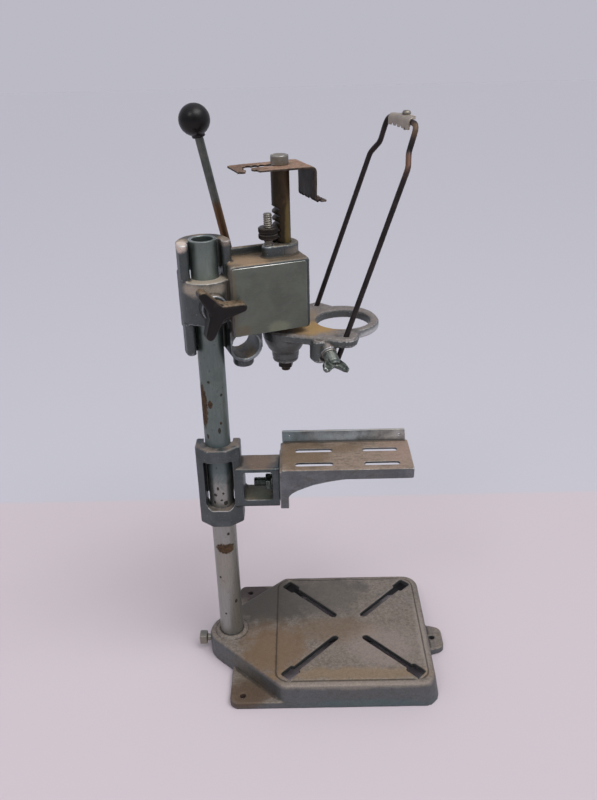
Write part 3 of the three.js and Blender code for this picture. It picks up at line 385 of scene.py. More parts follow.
# Where each noise turns from one tone to the other.
turning = {"blotch": (0.34, 0.68), "drift": (0.4, 0.64), "speck": (0.36, 0.64), "even": (0.3, 0.7),
           "pits": (0.6, 0.72), "grimeAndShade": (-0.03, -0.26), "rubbedAndLit": (0.38, 0.58), "top": (-0.1, 0.75)}
# Detail, roughness and twist of each noise, and how far one noise carries another value about.
noises = {"blotch": (6, 0.6, 0.3), "drift": (3, 0.5, 0.2), "grain": (4, 0.65, 0.0), "speck": (5, 0.72, 0.0),
          "pits": (2, 0.5, 0.0), "smear": (6, 0.72, 0.4), "rust": (8, 0.68, 0.6), "crust": (3, 0.7, 0.0)}
strays = {"film": 0.9, "grimeAndShade": 0.35, "bright": 0.45, "rubbedAndLit": 0.8}
relief = {"speck": 0.8, "pits": 0.9, "crustScale": 1500, "crustBase": 0.4}
# Roughness of what lies on the metal, and how ragged and soft a patch's outline is.
onTop = {"film": 0.66, "mottle": 0.7, "stainAndPaintedLight": 0.62, "dot": 0.8, "speckle": 0.7, "grimeAndShade": 0.8, "rust": 0.86}
outlines = {"stainAndPaintedLight": (1.6, 0.9), "dot": (0.9, 0.25), "rust": (1.3, 0.25)}


def agedFinish(name, look):
    look = {**plainLook, **look}
    material = bpy.data.materials.new(name)
    material.use_nodes = True
    tree = material.node_tree
    tree.nodes.clear()
    out = tree.nodes.new("ShaderNodeOutputMaterial")
    shader = tree.nodes.new("ShaderNodeBsdfPrincipled")
    tree.links.new(shader.outputs[0], out.inputs["Surface"])
    coords = add(tree, "TexCoord").outputs["Object"]
    edge = add(tree, "Attribute", {"attribute_name": "edge"}).outputs["Fac"]
    up = add(tree, "Attribute", {"attribute_name": "up"}).outputs["Fac"]

    def times(a, b):
        return sums(tree, "MULTIPLY", a, b)

    def stretched(scales):
        return add(tree, "Mapping", _0=coords, _3=scales).outputs[0]

    blotch = grainOf(tree, coords, look["blotch"], *noises["blotch"])
    drift = grainOf(tree, coords, look["drift"], *noises["drift"])
    drawn = stretched(look["stretch"]) if "stretch" in look else coords
    grain = grainOf(tree, drawn, look["grain"], *noises["grain"])
    speck = grainOf(tree, coords, look["speck"], *noises["speck"])
    pits = grainOf(tree, coords, look["pits"], *noises["pits"])

    def twoTones(tones):
        return blendColour(tree, remap(tree, speck, *turning["speck"]), paint(tones[0]), paint(tones[1]))

    # body colour, its slow changes and how far it shades along the part
    body = [paint(tone) for tone in look["body"]]
    colour = blendColour(tree, remap(tree, blotch, *turning["blotch"]), body[0], body[1])
    if len(body) > 2:
        colour = blendColour(tree, remap(tree, drift, *turning["drift"]), colour, body[2])
    for way, start, end, tone, amount in look.get("shades", []):
        along = vectorSums(tree, "DOT_PRODUCT", coords, unit(way).tolist(), "Value")
        place = wander(tree, along, blotch, look["shadeWander"])
        share = times(remap(tree, place, start * mm, end * mm), amount)
        colour = blendColour(tree, share, colour, paint(tone))
    rough = remap(tree, blotch, *turning["even"], look["rough"], False)
    lie = remap(tree, up, *look["lie"])
    if "sides" in look:  # painted cool light: what faces sideways takes a bluish tint
        tone, amount = look["sides"]
        share = times(sums(tree, "SUBTRACT", 1.0, lie), amount)
        colour = blendColour(tree, share, colour, paint(tone))

    # what lies on the metal, from thin dust to rust; some patches among the stains are painted highlights and
    # painted shadow, and the hollows' grime carries painted shade
    covered = None

    def layOn(share, tone, roughness):
        nonlocal colour, rough, covered
        colour = blendColour(tree, share, colour, tone)
        rough = blendValue(tree, share, rough, roughness)
        covered = share if covered is None else sums(tree, "MAXIMUM", covered, share)

    if "film" in look:
        tones, amount, low, high = look["film"]
        patch = remap(tree, wander(tree, blotch, drift, strays["film"]), low, high)
        layOn(times(times(lie, patch), amount), twoTones(tones), onTop["film"])
    if "mottle" in look:
        tone, scale, run, low, high, amount = look["mottle"]
        smear = grainOf(tree, stretched(run), scale, *noises["smear"])
        layOn(times(remap(tree, smear, low, high), amount), paint(tone), onTop["mottle"])
    for key in ("stains", "topStains"):
        for centre, size, tone, amount in look.get(key, []):
            share = times(patchAt(tree, coords, centre, size, blotch, *outlines["stainAndPaintedLight"]), amount)
            if key == "topStains":
                share = times(share, lie)
            layOn(share, paint(tone), onTop["stainAndPaintedLight"])
    for centre, size in look.get("dots", []):
        dot = patchAt(tree, coords, centre, size, speck, *outlines["dot"])
        layOn(dot, paint(look["dotTone"]), onTop["dot"])
    if "speckle" in look:
        tone, low, high, amount = look["speckle"]
        layOn(times(remap(tree, speck, low, high), amount), paint(tone), onTop["speckle"])
    if "glints" in look:  # painted glints: bright pinpoints where bare metal shows
        tone, low, high, amount = look["glints"]
        colour = blendColour(tree, times(remap(tree, pits, low, high), amount), colour, paint(tone))
    # grime darkens the hollows: dirt and painted shade together
    if "grimeAndShade" in look:
        tone, amount = look["grimeAndShade"]
        hollow = remap(tree, wander(tree, edge, blotch, strays["grimeAndShade"]), *turning["grimeAndShade"])
        layOn(times(hollow, amount), paint(tone), onTop["grimeAndShade"])
    rust = None
    if "rust" in look:
        low, high, scale, lift = look["rust"]
        patch = grainOf(tree, coords, scale, *noises["rust"])
        rust = remap(tree, sums(tree, "ADD", patch, times(up, lift)), low, high)
    for centre, size in look.get("rustAt", []):
        mask = patchAt(tree, coords, centre, size, speck, *outlines["rust"])
        rust = mask if rust is None else sums(tree, "MAXIMUM", rust, mask)
    if rust is not None:
        layOn(rust, twoTones(look["rustTones"]), onTop["rust"])

    # fine grain over everything, then the corners rubbed bare and given a painted highlight, strongest on
    # upward edges
    grainTones = 1 - look["grainTone"], 1 + look["grainTone"]
    fine = remap(tree, grain, *turning["even"], grainTones, False)
    fineColour = add(tree, "CombineColor", _0=fine, _1=fine, _2=fine).outputs[0]
    colour = blendColour(tree, 1.0, colour, fineColour, "MULTIPLY")
    if "bright" in look:
        tone, amount, low, high = look["bright"]
        share = times(remap(tree, wander(tree, edge, speck, strays["bright"]), low, high), amount)
        rubbedAndLit = wander(tree, drift, blotch, strays["rubbedAndLit"])
        share = times(share, remap(tree, rubbedAndLit, *turning["rubbedAndLit"], (0.25, 1.0)))
        share = times(share, remap(tree, up, *turning["top"], look["brightSide"]))
        colour = blendColour(tree, share, colour, paint(tone))
        rough = blendValue(tree, share, rough, look["brightRough"])
        covered = times(covered, sums(tree, "SUBTRACT", 1.0, share))

    height = sums(tree, "ADD", grain, times(speck, relief["speck"]))
    height = sums(tree, "SUBTRACT", height, times(remap(tree, pits, *turning["pits"]), relief["pits"]))
    if rust is not None:
        crust = grainOf(tree, coords, relief["crustScale"], *noises["crust"])
        height = sums(tree, "ADD", height, times(rust, sums(tree, "ADD", crust, relief["crustBase"])))
    bump = add(tree, "Bump", Height=height, Strength=look["bump"], Distance=look["bumpDepth"])
    metal = blendValue(tree, covered, look["metal"], look["coveredMetal"])
    for key, value in (("Base Color", colour), ("Roughness", rough), ("Metallic", metal),
                       ("Normal", bump.outputs[0])):
        tree.links.new(value, shader.inputs[key])
    if "shine" in look:
        shader.inputs["Specular IOR Level"].default_value = look["shine"]
    return material


headTurn = 20.5  # degrees about the column
carriageTurn = 16.5
rustTones = ("3a2819", "5c3f26")


def turnedBy(degrees, u, v, z=0.0):
    a = math.radians(degrees)
    return np.array([u * math.cos(a) - v * math.sin(a), u * math.sin(a) + v * math.cos(a), z])


def onHead(u, v, z=0.0):
    return turnedBy(headTurn, u, v, z)


castLook = {
    "metal": 0.85, "rough": (0.34, 0.5), "grain": 850, "grainTone": 0.14, "grimeAndShade": ("352e27", 0.75),
    "speckle": ("3d3a37", 0.6, 0.7, 0.4), "glints": ("c9cbc9", 0.68, 0.76, 0.5),
    "bump": 0.55, "bumpDepth": 0.00014,
}
castHead = agedFinish("castHead", {
    **castLook, "body": ("484b49", "646764", "545856"), "film": (("75654f", "86755f"), 0.85, 0.32, 0.56),
    "mottle": ("4b4238", 210, (1, 1, 1), 0.52, 0.66, 0.4), "sides": ("56636a", 0.35),
    "bright": ("d3dce3", 0.6, 0.22, 0.46), "brightSide": (0.6, 1.0),
    # The second stain, pale on the left wall's top, is a painted highlight, the pale backdrop's reflection.
    "stains": [((1, -19, 439), (21, 9, 6), "ada293", 0.8), ((-19.5, -12, 478), (7, 14, 5), "dccbc0", 0.9),
               (onHead(76, -9, 462), (19, 6, 5), "8f8375", 0.6),
               (onHead(18, -21, 430), (5, 7, 36), "8b8177", 0.6),
               ((19, -2, 478), (7, 14, 4), "ab9888", 0.5),
               (onHead(76, 4, 466), (18, 14, 5), "8a7f74", 0.35)],
    "topStains": [(onHead(34, -12, 459), (22, 16, 9), "a0866a", 0.9),
                  (onHead(78, -18, 459), (18, 10, 7), "756552", 0.8),
                  (onHead(0, -14, 446), (26, 16, 8), "b7aa99", 0.85)],
})
castGrey = agedFinish("castGrey", {
    **castLook, "body": ("505351", "6d706e", "5c5f5c"), "film": (("7f7673", "918884"), 0.85, 0.2, 0.5),
    "topStains": [(onHead(100, -16, 386), (26, 17, 7), "aa8852", 0.95),
                  (onHead(98, 20, 386), (20, 18, 7), "927f68", 0.8)],
    "mottle": ("584f49", 230, (1, 1, 1), 0.5, 0.66, 0.45),
    # This stain, pale on the ring's front right side, is a painted highlight.
    "stains": [(turnedBy(carriageTurn, 156, -26, 378), (30, 22, 5.6), "d0d2d5", 0.7)],
    "bright": ("e0e2e4", 0.85, 0.2, 0.42), "brightSide": (0.55, 1.0), "sides": ("5a666a", 0.3),
})
castTable = agedFinish("castTable", {
    **castLook, "body": ("62676b", "7a7f82", "6a6e6f"),
    "mottle": ("574b40", 240, (0.35, 1, 1), 0.48, 0.66, 0.5),
    "film": (("8a796a", "9f8b7c"), 0.95, 0.1, 0.46),
    "stains": [((120, 30, 262), (48, 4, 9), "aab2b8", 0.95), ((180, 30, 262), (26, 4, 9), "b2b0ae", 0.95),
               ((72, 29, 262), (16, 4, 9), "84939a", 0.95)],
    "topStains": [((84, 0, 255), (26, 28, 6), "79654f", 0.8), ((128, 14, 255), (18, 9, 6), "6f5b44", 0.55),
                  ((182, 4, 255), (16, 26, 6), "a0867a", 0.5)],
    "bright": ("cfcfcb", 0.6, 0.26, 0.5),
})
castBase = agedFinish("castBase", {
    **castLook, "body": ("646768", "7c7e7e", "716f6c"), "sides": ("62696d", 0.55),
    "film": (("6f635a", "8d8177"), 0.85, 0.05, 0.5), "drift": 11,
    "mottle": ("463f37", 330, (0.6, 1, 1), 0.46, 0.64, 0.34), "glints": ("b9bab6", 0.74, 0.82, 0.35),
    # The first stain, pale along the front top edge, is a painted highlight.
    "stains": [((130, -86, 26), (92, 5, 4), "a3978d", 0.36), ((214, -20, 26), (5, 60, 5), "9c928b", 0.5),
               ((22, -80, 8), (24, 20, 8), "543f2b", 0.8), ((20, 84, 8), (30, 20, 8), "33272a", 0.85),
               # The dark teal stain along the foot of the front skirt is painted shade.
               ((150, -88, 4), (70, 12, 6), "4a6064", 0.55), ((30, -40, 14), (30, 24, 14), "5f5546", 0.5)],
    # The first two top stains, dark over the back of the top, are the table's painted shadow, fading to the
    # right.
    "topStains": [((40, 46, 27), (62, 40, 9), "45423d", 0.9), ((110, 52, 27), (46, 36, 9), "5d5852", 0.7),
                  ((48, -34, 27), (34, 40, 9), "745b41", 0.75), ((112, -6, 28), (44, 18, 9), "705c47", 0.6),
                  ((140, -72, 28), (80, 8, 9), "8d7555", 0.55), ((168, -34, 28), (36, 30, 9), "958780", 0.5)],
    "rust": (0.7, 0.78, 40, 0.02), "rustTones": rustTones,
})
castDark = agedFinish("castDark", {
    **castLook, "body": ("4b5355", "636a6c", "555c5e"), "film": (("77695f", "887a70"), 0.85, 0.34, 0.6),
    "topStains": [((40, 0, 249), (14, 18, 6), "7f6a59", 0.8), ((38, 0, 212), (18, 20, 6), "55573f", 0.6)],
    "bright": ("c4c6c6", 0.5, 0.28, 0.52),
})
columnSteel = agedFinish("columnSteel", {
    "body": ("626f6b", "78827f", "6a7674"), "metal": 0.85, "rough": (0.3, 0.46), "grain": 700,
    "stretch": (1.0, 1.0, 0.12), "grainTone": 0.1, "blotch": 55, "shadeWander": 0.05,
    "shades": [((0, 0, 1), 238, 226, "9f9f9b", 0.85), ((0, 0, 1), 470, 500, "8a8f8a", 0.6)],
    "speckle": ("2c2a26", 0.62, 0.68, 0.85),
    "stains": [((0, -12, 262), (20, 14, 26), "506068", 0.4), ((-4, -12, 120), (12, 6, 30), "8b8174", 0.4),
               ((0, -12, 440), (14, 14, 30), "8c9690", 0.4)],
    "dots": [((5, -11.5, 207), (2.4, 3, 2.6)), ((-5, -11.5, 217), (1.8, 3, 1.8)),
             ((-2, -12, 225), (1.2, 3, 2.2)), ((3, -12, 219), (1.2, 3, 1.4)), ((1, -12, 211), (1.4, 3, 1.2)),
             ((-6.5, -11, 208), (1.3, 3, 2)), ((-8, -10, 285), (1.2, 3, 2.6)), ((4, -12, 292), (1.4, 3, 3.4)),
             ((8, -10, 330), (1.2, 3, 1.6)), ((-3, -12, 345), (1.5, 3, 1.5)), ((2, -12.5, 190), (3, 3, 1.2)),
             ((5, -11.5, 168), (1.4, 3, 1.8)), ((-7, -10, 110), (1.2, 3, 1.6)), ((8, -10, 76), (1.6, 3, 2.6)),
             ((-4, -12, 60), (1.1, 3, 1.3))],
    "dotTone": "33322d",
    "rustAt": [((-10.4, -7, 318), (6, 6, 24)), ((1.5, -12, 149), (11, 6, 6.5)),
               ((-3, -12.4, 321), (2.5, 3, 4.5)), ((6, -11, 300), (1.2, 1.5, 1.6))],
    "rustTones": ("33271a", "574028"),
    "bright": ("c8ccc8", 0.5, 0.3, 0.6), "bump": 0.25, "bumpDepth": 0.00006,
})
platedSteel = agedFinish("platedSteel", {
    "body": ("77766f", "928d82"), "metal": 0.85, "rough": (0.3, 0.48), "grain": 1100,
    "grainTone": 0.12, "grimeAndShade": ("2f2720", 0.8), "rust": (0.64, 0.74, 160, 0.0), "rustTones": rustTones,
    "film": (("736653", "827461"), 0.5, 0.4, 0.65),
    "bright": ("d0cfc8", 0.5, 0.25, 0.55), "bump": 0.3, "bumpDepth": 0.00006,
})
saddleSteel = agedFinish("saddleSteel", {
    "body": ("948a7f", "aba093"), "metal": 0.55, "rough": (0.4, 0.55), "grain": 1100,
    "grimeAndShade": ("3c2f25", 0.8), "rust": (0.56, 0.68, 70, 0.0), "rustTones": ("5f4733", "8a6b50"),
    "bright": ("c9c4ba", 0.5, 0.25, 0.55), "bump": 0.4, "bumpDepth": 0.00008,
})
zincSteel = agedFinish("zincSteel", {
    "body": ("3b443f", "6d7771"), "metal": 0.9, "blotch": 150,
    # The pale stain on the wing screw's hub is a painted highlight.
    "stains": [((114, -17, 369.5), (6, 6, 5), "b4bab6", 0.55)], "rough": (0.22, 0.38), "grain": 1000,
    "grimeAndShade": ("1c1f20", 0.9), "film": (("6d6b5d", "7f7d6d"), 0.4, 0.4, 0.65),
    "bright": ("dfe4e0", 0.8, 0.2, 0.42), "bump": 0.5, "bumpDepth": 0.00012,
})
darkSteel = agedFinish("darkSteel", {
    "body": ("24211e", "36322d"), "rough": (0.34, 0.52),
    "grimeAndShade": ("121010", 0.8), "rust": (0.6, 0.72, 60, 0.0), "rustTones": ("33281b", "4b3b28"),
    "bright": ("857c70", 0.5, 0.28, 0.55), "bump": 0.5, "bumpDepth": 0.00012,
})
postSteel = agedFinish("postSteel", {
    "body": ("2b251c", "3b3122"), "rough": (0.32, 0.48),
    "stretch": (1.0, 1.0, 0.15),
    # These stains are a painted highlight running down the post's front, fainter at its top.
    "stains": [(onHead(79, -7.5, 482), (3.4, 4, 34), "6c5a28", 0.75),
               (onHead(79, -7.5, 525), (6, 5, 14), "4f3b22", 0.6)],
    "rust": (0.6, 0.72, 50, 0.0), "rustTones": ("3a2a16", "574120"),
    "bright": ("8a7d68", 0.5, 0.28, 0.55), "bump": 0.4, "bumpDepth": 0.0001,
})
bracketRust = agedFinish("bracketRust", {
    "body": ("16120f", "231c17", "120f0d"), "metal": 0.1, "rough": (0.5, 0.66), "shine": 0.3,
    "film": (("83685a", "a5866f"), 1.0, 0.0, 0.36), "lie": (0.6, 0.95),
    "mottle": ("4c392c", 260, (1, 1, 1), 0.5, 0.64, 0.6), "rust": (0.64, 0.74, 90, 0.06),
    "rustTones": ("3f2a1b", "624430"),
    "topStains": [(onHead(42, -6, 539), (16, 22, 5), "5f4a3a", 0.75),
                  (onHead(66, 2, 539), (7, 14, 5), "b08e78", 0.5),
                  (onHead(110, -8, 509), (12, 26, 6), "2a2422", 1.0)],
    "bright": ("a08a78", 0.4, 0.25, 0.55), "bump": 0.7, "bumpDepth": 0.00018,
})
wireSteel = agedFinish("wireSteel", {
    "body": ("201b1b", "2f2727"), "metal": 0.5, "rough": (0.38, 0.56),
    "rust": (0.6, 0.72, 45, 0.0), "rustTones": ("3b2921", "55402f"),
    "stains": [((189.5, 30, 563), (8, 8, 8), "846a50", 0.65),
               ((181.5, 16, 536), (6, 7, 12), "7a5542", 0.6)],
    "bump": 0.6, "bumpDepth": 0.00014,
})
leverSteel = agedFinish("leverSteel", {
    "body": ("505653", "696c66"), "rough": (0.34, 0.5),
    "stretch": (1.0, 1.0, 0.2), "rust": (0.62, 0.72, 70, 0.0), "rustTones": ("4a3624", "6a4f35"),
    "shades": [((0, 0, 1), 503, 488, "65492f", 0.9)],
    "bump": 0.4, "bumpDepth": 0.0001,
})
coverPlate = agedFinish("coverPlate", {
    "body": ("5c625a", "6f766d", "646a61"), "rough": (0.3, 0.44), "grain": 1200,
    "stretch": (0.18, 0.18, 1.0), "grainTone": 0.08, "blotch": 40,
    "speckle": ("4c4a44", 0.66, 0.74, 0.5), "grimeAndShade": ("3a352e", 0.6),
    "stains": [(onHead(26, -26, 398), (10, 4, 7), "6d5a40", 0.4),
               (onHead(19, -26, 430), (3, 4, 30), "6b5c46", 0.6),
               (onHead(60, -26, 396), (36, 4, 6), "83866f", 0.5)],
    "bright": ("eeeeea", 1.0, 0.2, 0.42), "brightSide": (0.12, 1.0), "bump": 0.2, "bumpDepth": 0.00005,
})
blackPlastic = agedFinish("blackPlastic", {
    "body": ("070707", "100f0f"), "metal": 0.0, "rough": (0.3, 0.46), "grain": 800, "grainTone": 0.1,
    "film": (("5a4c3c", "8a7660"), 0.95, 0.3, 0.56), "lie": (0.3, 0.8), "coveredMetal": 0.0, "shine": 0.3,
    "stains": [((28, -46, 434), (12, 12, 6), "7a6b5c", 0.8)],
    "bright": ("5f5548", 0.5, 0.25, 0.5), "bump": 0.25, "bumpDepth": 0.00008,
})
ballPlastic = agedFinish("ballPlastic", {
    "body": ("050405", "090808"), "metal": 0.0, "rough": (0.3, 0.4), "grain": 700, "grainTone": 0.08,
    "film": (("1d1917", "2a2524"), 0.5, 0.4, 0.7), "lie": (0.5, 0.95), "coveredMetal": 0.0, "shine": 0.32,
    "bump": 0.15, "bumpDepth": 0.00006,
})
print("finishes made:", len(bpy.data.materials))

headAcross = onHead(1, 0)
headBack = onHead(0, 1)
upward = (0, 0, 1)
columnFoot = (0, 0, 0)
columnBore = 12.9


def ringProfile(inner, outer, thick, ease):
    return easedProfile([(inner, 0), (outer, 0), (outer, thick), (inner, thick)], ease, True)


def rodProfile(radius, length, ease):
    return easedProfile([(0, 0), (radius, 0), (radius, length), (0, length)], ease)


ringWork = {"ease": 0.3, "sides": 56}


def flatRing(name, node, ride, finish, towards):
    axis = axisOf(node, towards, disc=True)
    profile = ringProfile(axis["inner"], axis["outer"], axis["length"], ringWork["ease"])
    turnedPiece(name, profile, axis, ride, node, finish, ringWork["sides"], True)


# Base: dirt gathers just outside the raised panel, and is kept in the edge marks.
panel = {"x": (52.5, 213), "half": 80, "round": 12, "dirt": 0.2, "width": 1.3, "outside": 0.8, "above": 26.2}


def panelMarks(points, bulge):
    left, right = panel["x"]
    across = np.abs(points[:, 0] - (left + right) / 2) - (right - left) / 2 + panel["round"]
    along = np.abs(points[:, 1]) - panel["half"] + panel["round"]
    reach = np.hypot(np.maximum(across, 0), np.maximum(along, 0)) + np.minimum(np.maximum(across, along), 0)
    gap = np.abs(reach - panel["round"] - panel["outside"]) / panel["width"]
    return bulge - panel["dirt"] * np.exp(-gap ** 2) * (points[:, 2] > panel["above"])


baseBody = {"name": "baseBody", "node": "base_casting", "ride": "base", "slot": "cast_grey",
            "grid": 1.24, "ripple": 0.2, "rippleLength": 18, "pits": 0.05,
            "rounds": [(columnFoot, upward, 17.0), (columnFoot, upward, columnBore)], "marks": panelMarks}
softPiece(baseBody, castBase)
baseScrew = {"name": "baseScrew", "node": "column_set_screw", "ride": "base_screw",
             "slot": "plated_steel", "grid": 0.4}
softPiece(baseScrew, platedSteel)
print("base done")

column = {"wall": 3.0, "ease": 0.8, "sides": 128}
columnAxis = axisOf("column_tube", upward)
columnProfile = ringProfile(columnAxis["outer"] - column["wall"], columnAxis["outer"], columnAxis["length"],
                            column["ease"])
turnedPiece("columnTube", columnProfile, columnAxis, "column", "column_tube", columnSteel,
            column["sides"], True)
print("column done")

# Head
hoopCentre = onHead(30, 0, 379.5)
headBody = {"name": "headBody", "node": "head_casting", "ride": "head", "slot": "cast_grey",
            "turn": headTurn, "grid": 0.82, "ease": 3, "ripple": 0.14, "rippleLength": 12, "pits": 0.05,
            "rounds": [(columnFoot, upward, columnBore), (columnFoot, upward, 24.0),
                       (hoopCentre, headBack, 13.2), (hoopCentre, headBack, 16.6),
                       (onHead(75, 0), upward, 15.0)]}
softPiece(headBody, castHead)
cover = {"name": "coverSheet", "node": "gear_cover", "ride": "head", "slot": "cover_plate",
         "turn": headTurn, "grid": 0.36, "ease": 1, "ripple": 0.2, "rippleLength": 30}
softPiece(cover, coverPlate)
headKnob = {"name": "headKnob", "node": "head_clamp_knob", "ride": "head_knob",
            "slot": "black_plastic", "turn": headTurn, "grid": 0.5, "ease": 3}
softPiece(headKnob, blackPlastic)


stud = {"pitch": 1.6, "depth": 0.5, "bevel": 0.8, "sides": 40}


def studPiece(name, node, ride, finish, towards):
    axis = axisOf(node, towards)
    length, radius, bevel = axis["length"], axis["outer"], stud["bevel"]
    profile = [(0, 0, 0), (radius - bevel, 0, 0), (radius, bevel, 0), (radius, length - bevel, 0),
               (radius - bevel, length, 0), (0, length, 0)]
    turnedPiece(name, dividedProfile(profile, stud["pitch"] / 8), axis, ride, node, finish,
                stud["sides"], shape=thread(stud["pitch"], stud["depth"], bevel / 2, length - bevel / 2))


studPiece("headStud", "head_clamp_stud", "head_knob", darkSteel, -headBack)
print("head done")

# Feed shaft and lever
shaftAxis = axisOf("feed_shaft", headBack)
turnedPiece("feedShaft", rodProfile(shaftAxis["outer"], shaftAxis["length"], 0.7), shaftAxis, "lever",
            "feed_shaft", platedSteel, 48)
flatRing("shaftCollar", "shaft_collar", "lever", platedSteel, headBack)
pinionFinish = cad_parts["feed_pinion"].data.materials
pinionFinish.clear()
pinionFinish.append(darkSteel)
leverHub = {"name": "leverHub", "node": "lever_hub", "ride": "lever", "slot": "cast_grey", "turn": headTurn,
            "grid": 0.45, "ease": 3}
softPiece(leverHub, castDark)
leverAxis = axisOf("lever_rod", upward)
leverProfile = dividedProfile(rodProfile(leverAxis["outer"], leverAxis["length"], 0.5), 4)
turnedPiece("leverRod", leverProfile, leverAxis, "lever", "lever_rod", leverSteel, 40)

# The ball has a short neck below it, and its centre is past the rod's end.
ball = {"radius": 14.5, "neck": 6.2, "collar": 1.3, "pastRod": 5.0, "rows": 40}
ballLow = -ball["radius"] - ball["collar"]
startAngle = math.asin((ball["neck"] + 0.1) / ball["radius"])
neckTop = -ball["radius"] * math.cos(startAngle) - 0.4
ballProfile = [(0, ballLow, 0), (ball["neck"] - 1.0, ballLow, 0), (ball["neck"] - 0.3, ballLow + 0.25, 0.4),
               (ball["neck"], ballLow + 0.8, 0), (ball["neck"], neckTop, -0.4)]
for k in range(ball["rows"]):
    a = startAngle + (math.pi - startAngle) * k / ball["rows"]
    ballProfile.append((ball["radius"] * math.sin(a), -ball["radius"] * math.cos(a), 0.0))
ballProfile.append((0.0, ball["radius"], 0.0))
ballCentre = leverAxis["start"] + leverAxis["way"] * (leverAxis["length"] + ball["pastRod"])
turnedPiece("leverBall", ballProfile, {"start": ballCentre, "way": leverAxis["way"]}, "lever", "lever_ball",
            ballPlastic, 72)
print("lever done")

# Feed post with its rack
rack = {"pitch": 2 * math.pi, "middle": 425.0, "first": -3, "last": 12, "floor": 3.9, "narrow": 0.786,
        "slope": math.tan(math.radians(20))}
post = {"u": 75, "shoulder": 372.0, "radius": 8.4, "tip": 4.4}
postCentre = onHead(post["u"], 0)
postLow, postHigh = (corner[2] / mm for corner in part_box("post_rack"))


def onPost(low):
    return {"start": np.array([postCentre[0], postCentre[1], low]), "way": np.array([0.0, 0, 1])}


def rackShape(angle, height, radius):
    if math.cos(angle) > -0.2 or radius < post["radius"] - 0.01:
        return radius
    z = height + postLow
    k = min(rack["last"], max(rack["first"], round((z - rack["middle"]) / rack["pitch"])))
    off = abs(z - rack["middle"] - k * rack["pitch"])
    plane = rack["floor"] + max(0.0, off - rack["narrow"]) / rack["slope"]
    return min(radius, plane / -math.cos(angle))


postProfile = easedProfile([
    (0, 0), (post["tip"], 0), (post["tip"], post["shoulder"] - postLow),
    (post["radius"], post["shoulder"] - postLow), (post["radius"], postHigh - postLow),
    (0, postHigh - postLow)], 0.7)
turnedPiece("feedPost", dividedProfile(postProfile, 0.45), onPost(postLow), "carriage", "post_rack",
            postSteel, 96, shape=rackShape, across=headAcross)

cap = {"shank": 4.0, "head": 8.1, "gap": 0.12}
capLow, capHigh = (corner[2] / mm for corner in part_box("post_cap"))
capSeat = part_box("steady_bracket")[1][2] / mm + cap["gap"] - capLow
capTop = capHigh - capLow
turnedPiece("postCap", easedProfile([
    (0, 0), (cap["shank"], 0), (cap["shank"], capSeat), (cap["head"], capSeat),
    (cap["head"], capTop - 0.6), (cap["head"] - 1.3, capTop), (0, capTop)], 0.7),
    onPost(capLow), "carriage", "post_cap", platedSteel, 56)
flatRing("postWasher", "post_washer", "carriage", darkSteel, upward)
postNut = {"name": "postNut", "node": "post_nut", "ride": "carriage", "slot": "dark_steel", "grid": 0.35}
softPiece(postNut, darkSteel)
print("post done")

# Depth stop
stop = {"pitch": 2.0, "depth": 0.62, "plain": 14}
nut = {"knurls": 36, "cut": 0.55, "knurled": 0.6, "groove": 1.1}
stopAxis = axisOf("stop_rod", upward)
stopLength, stopRadius = stopAxis["length"], stopAxis["outer"]
turnedPiece("stopRod", dividedProfile([
    (0, 0, 0), (stopRadius, 0, 0), (stopRadius, stopLength - 0.9, 0), (stopRadius - 0.9, stopLength, 0),
    (0, stopLength, 0)], 0.25), stopAxis, "head", "stop_rod", platedSteel, 48,
    shape=thread(stop["pitch"], stop["depth"], stop["plain"], stopLength - 0.2))
nutAxis = axisOf("stop_nut", upward, disc=True)
nutHeight, nutRadius = nutAxis["length"], nutAxis["outer"]
middle = nutHeight / 2


def knurl(angle, height, radius):
    if radius < nutRadius - nut["knurled"]:
        return radius
    return radius - nut["cut"] * abs(math.sin(angle * nut["knurls"] / 2)) ** 0.7


turnedPiece("stopNut", easedProfile([
    (stopRadius + 0.2, 0), (nutRadius - 1.4, 0), (nutRadius, 1.2), (nutRadius, middle - 0.9),
    (nutRadius - nut["groove"], middle - 0.5), (nutRadius - nut["groove"], middle + 0.5),
    (nutRadius, middle + 0.9), (nutRadius, nutHeight - 0.8), (nutRadius - 0.8, nutHeight),
    (stopRadius + 0.2, nutHeight)], 0.25, True, 2),
    nutAxis, "depth_nut", "stop_nut", darkSteel, 216, True, shape=knurl)
print("depth stop done")

# Steady bracket: rust has bitten into the end of its strip and torn its foot.
eaten = {"foot": 511.0, "flange": 97.0, "reach": 105.0, "end": 46.0, "front": 13, "depth": 2.7,
         "length": 2.1, "tear": 7.5, "tearLength": 4.2, "most": 2.2, "outward": 1.4}


def eatenSheet(points):
    u, v = points @ headAcross, points @ headBack
    bitten = np.array([noise.noise(Vector((p, q, 3.7)) / eaten["length"]) + 0.08 for p, q in zip(u, v)])
    bitten = np.maximum(bitten, 0) * eaten["depth"]
    torn = np.array([noise.noise(Vector((p, q, 9.1)) / eaten["tearLength"]) + 0.05 for p, q in zip(u, v)])
    torn = np.clip(torn * eaten["tear"], 0, eaten["most"])
    worn = points.copy()
    foot = np.clip((eaten["foot"] - points[:, 2]) / 3, 0, 1) * (u > eaten["flange"])
    worn[:, 2] += foot * torn * (u < eaten["reach"])
    outer = foot * np.clip((u - eaten["reach"]) / 4, 0, 1)
    worn -= np.outer(outer * torn * eaten["outward"], headAcross)
    strip = np.clip((eaten["end"] - u) / 5, 0, 1) * np.clip((-v - eaten["front"]) / 3, 0, 1)
    worn += np.outer(strip * bitten, headBack)
    return worn


